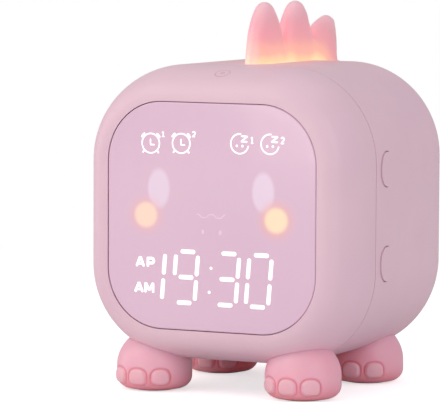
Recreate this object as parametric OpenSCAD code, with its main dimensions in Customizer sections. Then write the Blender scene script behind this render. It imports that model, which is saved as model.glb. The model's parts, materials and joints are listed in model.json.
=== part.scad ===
// Children's alarm clock with a night light: a rounded cube body on four dumpy feet, a display
// behind a flush front lens, a glowing crest of spikes over its top and back, and a small tail.
// Millimetres. X is the clock's left and right, the face looks along -Y and Z is up. The origin
// lies on the table, under the middle of the whole clock's box.

/* [Body] */
// Width of the body, side to side
body_w = 105.6; // [100:0.2:125]
// Height of the body without feet and crest
body_h = 104; // [100:0.2:120]
// Depth of the body, front lens to rear face
body_d = 95.6; // [92:0.2:120]
// Height of the body's underside above the table
ground_gap = 11; // [9:0.5:14]
// Radius of the body's four corners in front view
corner_r = 33.5; // [33:0.5:36]
// Distance the front edge rounding takes in from the body's outline
front_inset = 11.6; // [11:0.1:12]
// Depth over which the front rounding runs out into the sides
front_round_d = 21; // [20:0.5:22]
// Radius of the rear edges
rear_edge_r = 22; // [18:0.5:24]
// Wall thickness of the shells
wall = 2.2; // [1.8:0.1:2.6]
// Depth of the seam between front bezel and rear housing
seam_d = 22; // [22:0.5:24]
// Width and depth of the fine groove along the seam
seam_groove = 0.4; // [0.2:0.1:0.6]

/* [Lens and display] */
// Width of the flat rim beside the lens, from the front rounding
rim_side = 1.05; // [0.1:0.05:1.5]
// Height of the flat rim above and below the lens, from the front rounding
rim_top = 0.7; // [0.05:0.05:1.2]
// Thickness of the front lens
lens_t = 2; // [1.5:0.1:2.4]
// Gap around the lens
lens_gap = 0.25; // [0.1:0.05:0.4]
// Thickness of the adhesive tape ring behind the lens
tape_t = 0.2; // [0.1:0.05:0.3]
// Thickness of the diffuser film
film_t = 0.3; // [0.2:0.05:0.5]
// Width of the ledge that carries the lens
ledge_w = 6; // [5.8:0.1:6.5]
// Thickness of the ledge that carries the lens
ledge_t = 2; // [1.6:0.1:2.4]
// Depth of the block that keeps the light of each segment apart
mask_t = 6; // [5:0.5:8]
// Height of a digit, between the middles of its end segments
digit_h = 17.9; // [16:0.1:18.5]
// Width of a digit, between the middles of its side segments
digit_w = 8.7; // [8:0.1:9]
// Width of a lit segment
segment_w = 1.8; // [1.4:0.1:2.1]
// Lean of the digits, in degrees
digit_lean = 4.6; // [0:0.2:8]
// Diameter of the lit cheeks
cheek_d = 9.4; // [8:0.1:10]
// Width of an eye
eye_w = 8.3; // [7:0.1:9]
// Height of an eye
eye_h = 13.6; // [12:0.1:14.5]

/* [Side buttons] */
// Height of a button
button_h = 12.2; // [11:0.1:13]
// Width of a button
button_w = 11; // [10:0.1:11.9]
// Depth of the buttons' middles behind the front
button_d = 31.75; // [31.5:0.25:36]
// Height of the upper buttons above the middle of the body
button_up = 16.8; // [16:0.1:18]
// Height of the lower buttons below the middle of the body
button_down = 16.3; // [16:0.1:18]
// How far a button stands proud of the side
button_proud = 0.5; // [0.2:0.1:1]
// How far a button travels when pressed
button_travel = 0.8; // [0.4:0.1:1]
// Gap around a button
button_gap = 0.25; // [0.15:0.05:0.4]

/* [Crest] */
// Thickness of the crest at its foot
crest_t = 10; // [9:0.2:11]
// Distance from the front to the crest's front end
crest_start_d = 35.2; // [34:0.2:38]
// Height of a spike on the body
spike_h = 21.7; // [20:0.1:24]
// Half the width of a spike at its foot
spike_half_w = 12.5; // [11.5:0.1:13]
// Radius of a spike's tip, seen from the side
spike_tip_r = 5; // [4:0.1:6]
// Distance from the front to the first spike
spike_first_d = 42.2; // [41.5:0.1:44]
// Distance between the two spikes on the top
spike_pitch = 25.4; // [24:0.1:26]
// Width of the crest's neck in the housing's slot
neck_w = 6.8; // [6:0.1:7.5]

/* [Tail] */
// How far the tail's tip reaches behind the body
tail_reach = 35; // [33:0.5:38]
// Height of the middle of the tail's tip above the table
tail_tip_z = 9.3; // [8:0.1:11]
// Radius of the tail's tip
tail_tip_r = 5; // [4.5:0.1:5.5]
// Radius of the tail's hidden root
tail_root_r = 18; // [17:0.5:18]
// Radius of the sweep from the rear face into the ridge
tail_sweep_r = 45; // [40:1:50]
// Height above the table where that sweep starts
tail_sweep_z = 78; // [77:0.5:80]

/* [Feet] */
// Greatest radius of a foot
foot_r = 13.4; // [12.5:0.1:14]
// Distance of the feet's middles in from the sides
foot_inset = 23.7; // [22.5:0.1:24.5]
// Depth of the front feet's middles behind the front
foot_front_d = 14.4; // [14:0.1:15]
// Depth of the rear feet's middles behind the front
foot_rear_d = 67.9; // [66:0.1:69]
// Radius of a foot's rounded lower edge
foot_edge_r = 4.5; // [3.5:0.1:5]
// Radius of a toenail
nail_r = 3.3; // [2.8:0.1:3.6]
// How far a toenail stands out of the foot
nail_proud = 0.7; // [0.4:0.1:1]
// Angle between two toenails
nail_step = 36.7; // [34:0.1:40]
// Radius of a foot's rubber pad
pad_r = 7; // [6:0.1:8]
// Thickness of a foot's rubber pad
pad_t = 1; // [0.8:0.1:1.4]

/* [Inside] */
// Radius of the rechargeable cell
cell_r = 9.2; // [8.8:0.1:9.3]
// Distance of the rechargeable cell's ends in from the sides
cell_inset = 20.3; // [20:0.1:22]
// Radius of the speaker
speaker_r = 18; // [16:0.5:18.5]
// Thickness of the circuit boards
board_t = 1.6; // [1:0.1:1.8]
// Radius of the self-tapping screws
screw_r = 1.2; // [1:0.1:1.3]

/* [Hidden] */

$fn = 64;
eps = 0.01;
fit = 0.05; // clearance of a screw in its hole
over = 1; // how far a cut runs past the piece it cuts
far = 200; // longer than any cut needs
hole_over = 0.5; // how much deeper a screw's hole is than its screw

shell_pink = "#f3c9d4";
lens_pink = "#e5c3d6";
foot_pink = "#f0a3b4";
crest_pink = "#f5a5ae";
steel = "#b9bcc2";
board_green = "#2f6b4a";
frosted = "#f2f0ec";
black_part = "#26262a";
lead_white = "#e8e8e8";
lead_red = "#c23b3b";

overall_d = body_d + tail_reach;
y_front = -overall_d / 2;
y_rear = y_front + body_d;
mid_z = ground_gap + body_h / 2;
top_z = ground_gap + body_h;
corner_x = body_w / 2 - corner_r;
corner_z = body_h / 2 - corner_r;

// The front rounding is a tight arc that runs on into a wide one. The wide one has the corners'
// own radius, so that each front corner is part of a ball; this is the tight one's radius.
front_edge_r = (2 * front_inset * corner_r - front_inset ^ 2 - front_round_d ^ 2)
    / (2 * (corner_r - front_round_d));
edge_u = corner_r - front_inset;
sweep_dir = [edge_u, front_edge_r - front_round_d] / (corner_r - front_edge_r);

// Front to back, behind the lens
ledge_v = lens_t + tape_t;
mask_v = lens_t + film_t;
board_v = mask_v + mask_t;
board_back_v = board_v + board_t;
lens_w = body_w - 2 * (front_inset + rim_side);
lens_h = body_h - 2 * (front_inset + rim_top);
lens_corner_r = edge_u - rim_side;
window_w = lens_w - 2 * ledge_w;
window_h = lens_h - 2 * ledge_w;
window_r = lens_corner_r - ledge_w;
mask_gap = 0.3;
mask_rim = 0.8;
tape_in = 0.3;
tape_out = 0.4;

// Long screws that hold the two shells together, in the ledge's corners under the lens
post_r = 3.2;
post_out = 0.5;
post_reach = lens_corner_r - ledge_w / 2 + post_out;
post_x = lens_w / 2 - lens_corner_r + post_reach * cos(45);
post_z = lens_h / 2 - lens_corner_r + post_reach * sin(45);
head_r = 2.2;
head_h = 1.4;
head_top_r = 1.65;
recess_w = 0.5;
head_gap = 0.2;
post_l = 8;
post_head_v = seam_d - post_l;
case_bite = 9;
boss_l = 14;
boss_floor = 2;
rib_t = 2;
rib_gap = 2;
lip_l = 3;
lip_t = 1.3;
lip_gap = 0.1;
lip_root = 0.5;

// The display board hangs on four short bosses beside the window
board_boss_x = window_w / 2 + ledge_w / 2;
board_boss_z = 15;
board_boss_r = 2.2;
board_boss_floor = 0.8;
board_bite = 3.5;
board_edge = 2.5;
board_w = 2 * (board_boss_x + board_edge);
board_gap = 0.7;
board_h = window_h - 2 * board_gap;
board_post_gap = 2;
board_side_h = 2 * (post_z - post_r - board_post_gap);
board_mid_w = 2 * (post_x - post_r - board_post_gap);

// Layout of the face, as shares of the lens
function on_lens(p) = [p[0] * lens_w, p[1] * lens_h];
icon_xz = [
    for (p = [[-0.293, 0.314], [-0.142, 0.317], [0.138, 0.326], [0.284, 0.329]]) on_lens(p)
];
icon_hole_r = 4;
digit_x = lens_w * [-0.275, -0.118, 0.08, 0.234];
digit_mid_z = -0.267 * lens_h;
cheek_x = 0.314 * lens_w;
eye_xz = on_lens([0.252, 0.118]);
mouth_size = [11, 2.4];
colon_z = [for (share = [0.2, -0.268]) digit_mid_z + share * digit_h];
meridiem_xz = [for (p = [[-0.315, -0.208], [-0.319, -0.32]]) on_lens(p)];
meridiem_size = [8.3, 4.2];

// On the display board
led_size = [1.6, 0.8, 0.9];
socket_size = [7, 4, 5];
socket_edge = 9.65;
side_socket_x = board_w / 2 - socket_edge;
chip_size = [12, 12, 1.4];
chip_z = 3;
sockets_xz = [[-side_socket_x, 0], [side_socket_x, 0], [-12, 24], [4, 24], [10, -26]];

// Buttons, their switches and the little boards behind them
flange_reach = 1.2;
flange_t = 1;
flange_gap = 0.3;
plunger_r = 1.7;
plunger_gap = 0.1;
switch_size = 6;
switch_h = 3.5;
plunger_out = 1.5;
plunger_in = 2.5;
stem_r = 1.6;
stem_l = 1.9;
stem_in = 0.5;
cap_back_x = body_w / 2 - wall - flange_gap - flange_t;
switch_top_x = cap_back_x - stem_l - plunger_out;
button_board_x = switch_top_x - switch_h - board_t;
button_board_size = [15, 47];
button_post_r = 2.2;
button_post_step = 7;
screw_bite = 5;
button_mid_z = (button_up - button_down) / 2;

// Crest: the line it follows, over the top, round the rear edge and down the back
crest_y = y_front + crest_start_d;
arc_y = y_rear - rear_edge_r;
arc_z = top_z - rear_edge_r;
slot_over = 4;
slot_end_z = tail_sweep_z + slot_over;
strip_h = 2.5;
web_h = 6.5;
web_t = 5;
web_end = 6;
neck_gap = 0.1;
neck_in = 1.6;
neck_start = 1.5;
crest_back_angles = [58, 21];
crest_back_z = 83.6;
lens_over = 5;
spike_root = 6;
spike_front_tip_r = 3;

// Tail: its ridge leaves the rear face on a hollow sweep and runs straight to the tip
tip_y = y_rear + tail_reach - tail_tip_r;
sweep_y = y_rear + tail_sweep_r;
tip_dist = norm([sweep_y - tip_y, tail_sweep_z - tail_tip_z]);
tail_lean = asin((tail_sweep_r + tail_tip_r) / tip_dist)
    - atan2(sweep_y - tip_y, tail_sweep_z - tail_tip_z);
ridge_y = sweep_y - tail_sweep_r * cos(tail_lean);
ridge_z = tail_sweep_z - tail_sweep_r * sin(tail_lean);
ridge_l = (tip_y + tail_tip_r * cos(tail_lean) - ridge_y) / sin(tail_lean);
root_back = 20;
root_y = ridge_y - root_back * sin(tail_lean) - tail_root_r * cos(tail_lean);
root_z = ridge_z + root_back * cos(tail_lean) - tail_root_r * sin(tail_lean);
tail_axis = [tip_y - root_y, tail_tip_z - root_z];
tail_axis_l = norm(tail_axis);
tail_pitch = atan2(tail_axis[0], -tail_axis[1]);
tail_top_z = 70;
tail_screw_x = 8.2;
tail_screw_z = 38;
tail_boss_r = 2.8;
tail_boss_l = 9;
tail_bite = 7;
tail_floor = 5;
tongue_d = 2;
tongue_start = 3;
ridge_depth = 12;
ridge_over = 6;
tail_shoulder = 2;
crest_end_gap = 5;
crest_end = ridge_l - crest_end_gap;
crest_end_t = 6;
tongue_w = crest_end_t - tongue_d;
// Place along the ridge, height and half the width of each spike on the tail
tail_spikes = [[4.5, 15, 10.5], [26, 15, 11]];
tail_spike_tip_r = 4;

// Feet
foot_x = body_w / 2 - foot_inset;
foot_bottom_z = 0.5;
foot_edge_z = foot_bottom_z + foot_edge_r;
foot_mid_z = 8;
nail_z = 5.1;
nail_edge_r = 0.6;
foot_pad_z = 17;
foot_pad_r = 4.5;
foot_screw_l = 11;

// Light channel under the crest
led_w = 3.5;
led_h = 1.4;
led_start = 6;
led_step = 9.5;
led_back_up = 3;
light_gap = 0.8;
strip_t = 0.6;
strip_w = 8;
strip_inset = 2;
channel_t = 1.2;
channel_w = 12;
led_v = wall + neck_in + light_gap + led_h;
channel_v = led_v + strip_t;

// Charging board and socket, battery and speaker
port_x = -14.5;
port_up = 80.6;
port_z = port_up - mid_z;
port_w = 9;
port_h = 3.3;
port_wall = 0.35;
port_deep = 6;
port_gap = 0.15;
port_sunk = 0.3;
blade_w = 6.6;
blade_t = 0.7;
blade_in = 0.8;
charge_in = 12.6;
charge_v = body_d - charge_in;
charge_side = 4.8;
charge_board_x = port_x - charge_side;
charge_board_size = [21.4, 25];
charge_post_side = 12;
charge_post_x = port_x - charge_post_side;
charge_post_z = 8.5;
charge_post_r = 2.4;
holder_t = 1.6;
holder_z = -14;
holder_in = 8.4;
holder_v = body_d - holder_in;
holder_end_low = 2;
cell_l = body_w - 2 * cell_inset;
cell_gap = 0.2;
cell_v = holder_v - holder_t - cell_gap - cell_r;
contact_t = 0.5;
contact_w = 10;
holder_ear_out = 7.5;
holder_ear_x = cell_l / 2 + holder_ear_out;
holder_ear_r = 3;
holder_bite = 2.6;
speaker_v = 50;
speaker_rise = 1.2;
speaker_z = ground_gap + wall + speaker_rise;
speaker_seat_in = 0.5;
speaker_seat_t = 2;
speaker_boss_r = 2.8;
speaker_flange_t = 1.5;
speaker_deep = 8;
speaker_neck_r = 9;
frame_t = 1;
frame_rim = 3;
magnet_h = 6;
cone_t = 0.6;
cone_h = 5;
cone_rim = 2;
cone_tip_r = 4;
retainer_t = 1.2;
retainer_out = 3.5;
retainer_x = speaker_r + retainer_out;
retainer_over = 1.5;
retainer_in = 1.8;
retainer_bite = 2.2;
retainer_ear_r = 3.2;
grille_hole_r = 1;
grille_pitch = 4;
grille_rings = 3;

// Middles and turns of the seven bars of a digit
bar_gap = 0.5;
bars = concat(
    [for (row = [-1, 0, 1]) [0, row * digit_h / 2, 0]],
    [for (side = [-1, 1], row = [-1, 1]) [side * digit_w / 2, row * digit_h / 4, 90]]
);
// The first digit shows a one or nothing, so it has only its right-hand bars
function digit_bars(x) = [for (bar = bars) if (x > digit_x[0] || bar[0] > 0) bar];

// Touch plate and leads
touch_d = 9;
touch_t = 0.4;
touch_r = 5;
touch_lean = asin((front_round_d - touch_d) / corner_r);
touch_lead_r = 0.25;
touch_lead_out = 2.5;
touch_lead_z = 29;
lead_step = 0.1;
lead_r = 0.9;
bend_r = 2;
socket_v = board_back_v + socket_size[2];
crest_lead_x = 2;
crest_lead_v = 31;
speaker_lead_x = 7.5;
charge_lead_z = 7;
charge_lead_out = 10;
charge_lead_rise = 6;
battery_lead_in = 2;

// ---------- shared shapes ----------

// Flat rounded rectangle with true arcs
module rounded_rect(w, h, r) {
    square([w - 2 * r, h], center = true);
    square([w, h - 2 * r], center = true);
    for (sx = [-1, 1], sy = [-1, 1])
        translate([sx * (w / 2 - r), sy * (h / 2 - r)]) circle(r);
}

// Upright oval with straight sides
module oval(w, h) {
    square([w, h - w], center = true);
    for (sy = [-1, 1])
        translate([0, sy * (h - w) / 2]) circle(w / 2);
}

// Half of the casing's section, t inside its surface: x from a corner's axis outwards,
// y from the front backwards
module casing_section(t) {
    touch = [edge_u, front_edge_r] + sweep_dir * (front_edge_r - t);
    polygon([
        [0, t], [edge_u, t], touch, [corner_r - t, front_round_d],
        [corner_r - t, body_d - rear_edge_r], [corner_r - rear_edge_r, body_d - t],
        [0, body_d - t]
    ]);
    translate([edge_u, front_edge_r]) circle(front_edge_r - t);
    translate([corner_r - rear_edge_r, body_d - rear_edge_r]) intersection() {
        circle(rear_edge_r - t);
        square(rear_edge_r);
    }
    intersection() {
        translate([0, front_round_d]) circle(corner_r - t);
        polygon([
            [0, front_round_d],
            [0, front_round_d] + sweep_dir * 2 * corner_r,
            [2 * corner_r, front_round_d]
        ]);
    }
}

// The whole casing as one solid, t inside its surface
module casing(t) {
    translate([0, y_front, mid_z]) rotate([-90, 0, 0]) {
        for (turn = [0, 180]) rotate(turn) {
            translate([corner_x, corner_z]) rotate_extrude(angle = 90) casing_section(t);
            translate([-corner_x, corner_z]) rotate(90) rotate_extrude(angle = 90) casing_section(t);
            translate([corner_x, -corner_z]) rotate([90, 0, 0]) mirror([0, 0, 1])
                linear_extrude(2 * corner_z) casing_section(t);
            translate([corner_x, corner_z]) rotate([90, 0, 90]) mirror([0, 0, 1])
                linear_extrude(2 * corner_x) casing_section(t);
        }
        translate([-corner_x, -corner_z, t]) cube([2 * corner_x, 2 * corner_z, body_d - 2 * t]);
    }
}

// A quarter of that solid, split at the middle planes: side 1 or -1 in X, level 1 or -1 in Z
module casing_quarter(t, side, level) {
    translate([0, y_front, mid_z]) rotate([-90, 0, 0])
        mirror([side < 0 ? 1 : 0, 0, 0]) mirror([0, level > 0 ? 1 : 0, 0]) {
            translate([corner_x, corner_z]) rotate_extrude(angle = 90) casing_section(t);
            translate([corner_x, 0]) rotate([90, 0, 0]) mirror([0, 0, 1])
                linear_extrude(corner_z) casing_section(t);
            translate([corner_x, corner_z]) rotate([90, 0, 90]) mirror([0, 0, 1])
                linear_extrude(corner_x) casing_section(t);
            translate([0, 0, t]) cube([corner_x, corner_z, body_d - 2 * t]);
        }
}

// Everything between two depths behind the front
module depth_range(v0, v1, z0 = -far / 4) {
    translate([-far / 2, y_front + v0, z0]) cube([far, v1 - v0, far]);
}

// Puts children at x, depth v and height zc over the body's middle, their z axis to the rear
module at(x, v, zc) {
    translate([x, y_front + v, mid_z + zc]) rotate([-90, 0, 0]) children();
}

// Cylinder to the rear, from depth v0 to v1
module rod(x, zc, v0, v1, r) {
    at(x, v0, zc) cylinder(h = v1 - v0, r = r);
}

// Flat plate lying in the front view, from depth v0 to v1
module plate(v0, v1) {
    at(0, v0, 0) mirror([0, 1, 0]) linear_extrude(v1 - v0) children();
}

// Ring in the front view that follows the casing's straight sides
module casing_ring(t_out, t_in, v0, v1) {
    plate(v0, v1) difference() {
        rounded_rect(body_w - 2 * t_out, body_h - 2 * t_out, corner_r - t_out);
        rounded_rect(body_w - 2 * t_in, body_h - 2 * t_in, corner_r - t_in);
    }
}

// Slab whose outline is drawn in the side view
module side_slab(w) {
    rotate([90, 0, 90]) linear_extrude(w, center = true) children();
}

// Pan-head screw with a cross recess; the head's seat is at z = 0 and the shank points down
module screw(l) {
    difference() {
        union() {
            translate([0, 0, -l]) cylinder(h = l, r = screw_r);
            cylinder(h = head_h, r1 = head_r, r2 = head_top_r);
        }
        for (turn = [0, 90]) rotate(turn)
            translate([-head_r / 2, -recess_w / 2, head_h / 2]) cube([head_r, recess_w, head_h]);
    }
}

// Bend of a lead at point b, on its way from a to c
module bend(a, b, c, r) {
    d1 = (b - a) / norm(b - a);
    d2 = (c - b) / norm(c - b);
    turn = acos(d1 * d2);
    n = (d2 - d1 * (d1 * d2)) / sin(turn);
    w = cross(d1, d2) / sin(turn);
    middle = b + (n - d1 * tan(turn / 2)) * bend_r;
    multmatrix([
        [-n[0], d1[0], w[0], middle[0]],
        [-n[1], d1[1], w[1], middle[1]],
        [-n[2], d1[2], w[2], middle[2]],
        [0, 0, 0, 1]
    ]) rotate_extrude(angle = turn) translate([bend_r, 0]) circle(r);
}

// What a bend at b takes off the straight runs beside it
function bend_cut(a, b, c) =
    bend_r * tan(acos((b - a) * (c - b) / norm(b - a) / norm(c - b)) / 2);

// Round lead through a list of points given as x, depth, height over the middle
module lead(points, r) {
    spots = [for (p = points) [p[0], y_front + p[1], mid_z + p[2]]];
    last = len(spots) - 1;
    for (i = [0:last - 1]) {
        step = spots[i + 1] - spots[i];
        cut = i == 0 ? 0 : bend_cut(spots[i - 1], spots[i], spots[i + 1]);
        cut_end = i == last - 1 ? 0 : bend_cut(spots[i], spots[i + 1], spots[i + 2]);
        translate(spots[i] + step / norm(step) * cut)
            rotate([0, acos(step[2] / norm(step)), atan2(step[1], step[0])])
            cylinder(h = norm(step) - cut - cut_end, r = r);
    }
    for (i = [1:1:last - 1]) bend(spots[i - 1], spots[i], spots[i + 1], r);
}

// ---------- front bezel, lens and display ----------

module each_post() {
    for (sx = [-1, 1], sz = [-1, 1]) translate([sx * post_x, 0, sz * post_z]) children();
}

module each_board_boss() {
    for (sx = [-1, 1], sz = [-1, 1])
        translate([sx * board_boss_x, 0, sz * board_boss_z]) children();
}

// Outline of the lens, taken in by t
module lens_outline(t) {
    rounded_rect(lens_w - 2 * t, lens_h - 2 * t, lens_corner_r - t);
}

// Outline of the window behind the lens, taken in by t
module window_outline(t) {
    rounded_rect(window_w - 2 * t, window_h - 2 * t, window_r - t);
}

module front_bezel() color(shell_pink) difference() {
    union() {
        difference() {
            union() {
                intersection() {
                    difference() {
                        casing(0);
                        casing(wall);
                    }
                    depth_range(-1, seam_d);
                }
                intersection() {
                    casing(0);
                    plate(0, ledge_v + ledge_t) difference() {
                        lens_outline(-wall);
                        window_outline(0);
                    }
                }
            }
            plate(-eps, ledge_v) lens_outline(-lens_gap);
        }
        each_post() rod(0, 0, ledge_v, seam_d, post_r);
        each_board_boss() rod(0, 0, ledge_v + ledge_t - eps, board_v, board_boss_r);
        casing_ring(wall - lip_root, wall + lip_gap + lip_t, seam_d - lip_l, seam_d);
        casing_ring(wall + lip_gap, wall + lip_gap + lip_t, seam_d - eps, seam_d + lip_l);
        foot_seat(foot_front_d);
    }
    each_post() {
        rod(0, 0, ledge_v - eps, post_head_v, head_r + head_gap);
        rod(0, 0, post_head_v - eps, seam_d + eps, screw_r + fit);
    }
    each_board_boss() rod(0, 0, ledge_v + board_boss_floor, board_v + eps, screw_r + fit);
    foot_screw_holes(foot_front_d);
}

module face_lens() color(lens_pink)
    plate(0, lens_t) lens_outline(0);

module lens_tape() color(black_part) difference() {
    plate(lens_t, ledge_v) difference() {
        lens_outline(tape_in);
        window_outline(-tape_out);
    }
    each_post() rod(0, 0, 0, seam_d, head_r + head_gap);
}

module diffuser_film() color(frosted)
    plate(lens_t, mask_v) window_outline(mask_gap);

// One segment of a digit: a bar with pointed ends
module segment_bar(l) {
    w = segment_w / 2;
    polygon([
        [-l / 2, 0], [w - l / 2, w], [l / 2 - w, w],
        [l / 2, 0], [l / 2 - w, -w], [w - l / 2, -w]
    ]);
}

function leaned(p) = [p[0] + p[1] * tan(digit_lean), p[1]];

module display_holes() {
    for (x = digit_x, bar = digit_bars(x))
        translate([x, digit_mid_z] + leaned(bar)) rotate(bar[2] == 0 ? 0 : 90 - digit_lean)
            segment_bar((bar[2] == 0 ? digit_w : digit_h / 2) - bar_gap);
    for (z = colon_z) translate([(z - digit_mid_z) * tan(digit_lean), z]) circle(segment_w / 2);
    for (side = [-1, 1]) {
        translate([side * cheek_x, 0]) circle(cheek_d / 2);
        translate([side * eye_xz[0], eye_xz[1]]) oval(eye_w, eye_h);
    }
    for (p = icon_xz) translate(p) circle(icon_hole_r);
    for (p = meridiem_xz) translate(p) square(meridiem_size, center = true);
    square(mouth_size, center = true);
}

module segment_mask() color(frosted) plate(mask_v, board_v) difference() {
    window_outline(mask_gap);
    intersection() {
        window_outline(mask_gap + mask_rim);
        display_holes();
    }
}

module board_outline() {
    square([board_w, board_side_h], center = true);
    square([board_mid_w, board_h], center = true);
}

module display_board() color(board_green) difference() {
    plate(board_v, board_back_v) board_outline();
    each_board_boss() rod(0, 0, board_v - over, board_back_v + over, screw_r + fit);
}

module display_led(x, zc) {
    at(x, board_v - led_size[2], zc)
        translate([-led_size[0] / 2, -led_size[1] / 2, 0]) cube(led_size);
}

module display_leds() color("#f7f3e3") {
    for (x = digit_x, bar = digit_bars(x)) {
        p = [x, digit_mid_z] + leaned(bar);
        if (bar[2] == 0) display_led(p[0], p[1]);
        else at(p[0], board_v - led_size[2], p[1]) rotate(90)
            translate([-led_size[0] / 2, -led_size[1] / 2, 0]) cube(led_size);
    }
    for (side = [-1, 1]) {
        display_led(side * cheek_x, 0);
        display_led(side * eye_xz[0], eye_xz[1]);
    }
    for (p = concat(icon_xz, meridiem_xz)) display_led(p[0], p[1]);
    display_led(0, 0);
}

module controller_chip() color(black_part)
    at(0, board_back_v, chip_z) translate([-chip_size[0] / 2, -chip_size[1] / 2, 0]) cube(chip_size);

module board_sockets() color("#efe9dc")
    for (p = sockets_xz) at(p[0], board_back_v, p[1])
        translate([-socket_size[0] / 2, -socket_size[1] / 2, 0]) cube(socket_size);

module display_screws() color(steel)
    each_board_boss() at(0, board_back_v, 0) screw(board_t + board_bite);

module case_screws() color(steel)
    each_post() at(0, post_head_v, 0) mirror([0, 0, 1]) screw(post_l + case_bite);

// ---------- rear housing ----------

module corner_bosses() {
    for (sx = [-1, 1], sz = [-1, 1]) {
        rod(sx * post_x, sz * post_z, seam_d, seam_d + boss_l, post_r);
        intersection() {
            translate([sx * post_x, y_front + seam_d + lip_l + rib_gap, mid_z + sz * post_z])
                rotate([0, -atan2(sz, sx), 0])
                translate([0, 0, -rib_t / 2]) cube([corner_r, boss_l - lip_l - rib_gap, rib_t]);
            casing_quarter(wall / 2, sx, sz);
        }
    }
}

// Puts children at x and at the buttons' depth, zc over the body's middle
module at_button(x, zc) {
    translate([x, y_front + button_d, mid_z + zc]) children();
}

// Cylinders on the axes of the button boards' screws, from x outwards
module button_axes(x, l, r) {
    for (side = [-1, 1], step = [-1, 1])
        at_button(side * x, button_mid_z + step * button_post_step)
            rotate([0, side * 90, 0]) cylinder(h = l, r = r);
}

module button_posts() {
    x = button_board_x + board_t;
    button_axes(x, body_w / 2 - wall / 2 - x, button_post_r);
}

module button_post_holes() {
    button_axes(button_board_x + board_t - eps, screw_bite + hole_over, screw_r + fit);
}

// Upright oval through the side wall, at a button's place
module button_prism(zc, grow, x0, x1) {
    at_button(x0, zc) rotate([90, 0, 90])
        linear_extrude(x1 - x0) oval(button_w + 2 * grow, button_h + 2 * grow);
}

module speaker_seat() {
    translate([0, y_front + speaker_v, ground_gap + wall / 2]) difference() {
        cylinder(h = speaker_z - ground_gap - wall / 2, r = speaker_r - speaker_seat_in);
        translate([0, 0, -over])
            cylinder(h = speaker_z, r = speaker_r - speaker_seat_in - speaker_seat_t);
    }
    for (side = [-1, 1]) intersection() {
        translate([side * retainer_x, y_front + speaker_v, ground_gap])
            cylinder(h = speaker_z + speaker_flange_t - ground_gap, r = speaker_boss_r);
        casing_quarter(wall / 2, side, -1);
    }
}

module grille() {
    translate([0, y_front + speaker_v, ground_gap - over]) {
        cylinder(h = wall + 3 * over, r = grille_hole_r);
        for (ring = [1:grille_rings], i = [0:6 * ring - 1])
            rotate(i * 60 / ring) translate([ring * grille_pitch, 0, 0])
                cylinder(h = wall + 3 * over, r = grille_hole_r);
    }
}

module each_charge_post() {
    for (sz = [-1, 1])
        translate([charge_post_x, 0, port_z + sz * charge_post_z]) children();
}

module rear_housing() color(shell_pink) difference() {
    union() {
        intersection() {
            difference() {
                casing(0);
                casing(wall);
            }
            depth_range(seam_d, body_d + over);
        }
        corner_bosses();
        button_posts();
        foot_seat(foot_rear_d);
        speaker_seat();
        each_charge_post() rod(0, 0, charge_v + board_t, body_d - wall / 2, charge_post_r);
        for (sx = [-1, 1]) intersection() {
            rod(sx * holder_ear_x, holder_z, holder_v, body_d, holder_ear_r);
            casing_quarter(wall / 2, sx, -1);
        }
    }
    casing_ring(-1, seam_groove, seam_d - eps, seam_d + seam_groove);
    for (sx = [-1, 1], sz = [-1, 1])
        rod(sx * post_x, sz * post_z, seam_d - eps, seam_d + boss_l - boss_floor, screw_r + fit);
    for (side = [0, 1], zc = [button_up, -button_down])
        mirror([side, 0, 0]) button_prism(zc, button_gap, body_w / 2 - wall - 3 * over, body_w);
    button_post_holes();
    foot_screw_holes(foot_rear_d);
    grille();
    for (side = [-1, 1])
        translate([side * retainer_x, y_front + speaker_v, speaker_z + speaker_flange_t - retainer_bite])
            cylinder(h = retainer_bite + over, r = screw_r + fit);
    each_charge_post()
        rod(0, 0, charge_v, charge_v + board_t + screw_bite + hole_over, screw_r + fit);
    for (sx = [-1, 1])
        rod(sx * holder_ear_x, holder_z, holder_v - eps, holder_v + holder_bite + hole_over, screw_r + fit);
    each_tail_screw() rod(0, 0, body_d - wall - over, body_d + over, screw_r + fit);
    at(port_x, body_d - wall - over, port_z)
        linear_extrude(wall + 2 * over) rotate(90) oval(port_h + 2 * port_gap, port_w + 2 * port_gap);
    side_slab(neck_w + 2 * neck_gap)
        crest_band(over, -wall - over, crest_y + neck_start - neck_gap, slot_end_z - neck_gap);
}

// ---------- crest ----------

// Region in the side view inside a line h above the casing, from depth line y0 to height z1
module under_line(h, y0, z1) {
    translate([y0, arc_z]) square([arc_y - y0, rear_edge_r + h]);
    intersection() {
        translate([arc_y, arc_z]) circle(rear_edge_r + h);
        translate([arc_y, arc_z]) square(far);
    }
    translate([arc_y, z1]) square([rear_edge_r + h, arc_z - z1]);
}

// Band between two heights above the casing, over the top and down the back
module crest_band(h_out, h_in, y0, z1) {
    difference() {
        under_line(h_out, y0, z1);
        under_line(h_in, y0 - over, z1 - over);
    }
}

// Band between two heights above the tail's ridge, over its sweep and straight part
module ridge_band(h_out, h_in, l) {
    intersection() {
        difference() {
            translate([sweep_y, tail_sweep_z]) circle(tail_sweep_r - h_in);
            translate([sweep_y, tail_sweep_z]) circle(tail_sweep_r - h_out);
        }
        translate([sweep_y, tail_sweep_z]) polygon([
            [0, 0], [-2 * tail_sweep_r, 0], -2 * tail_sweep_r * [cos(tail_lean), sin(tail_lean)]
        ]);
    }
    translate([ridge_y, ridge_z]) rotate(tail_lean - 90)
        translate([-eps, h_in]) square([l + eps, h_out - h_in]);
}

// Puts children on the crest's line: y runs along it to the rear and z points away from the clock
module on_line(y, z, lean) {
    translate([0, y, z]) rotate([lean - 90, 0, 0]) children();
}

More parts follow.
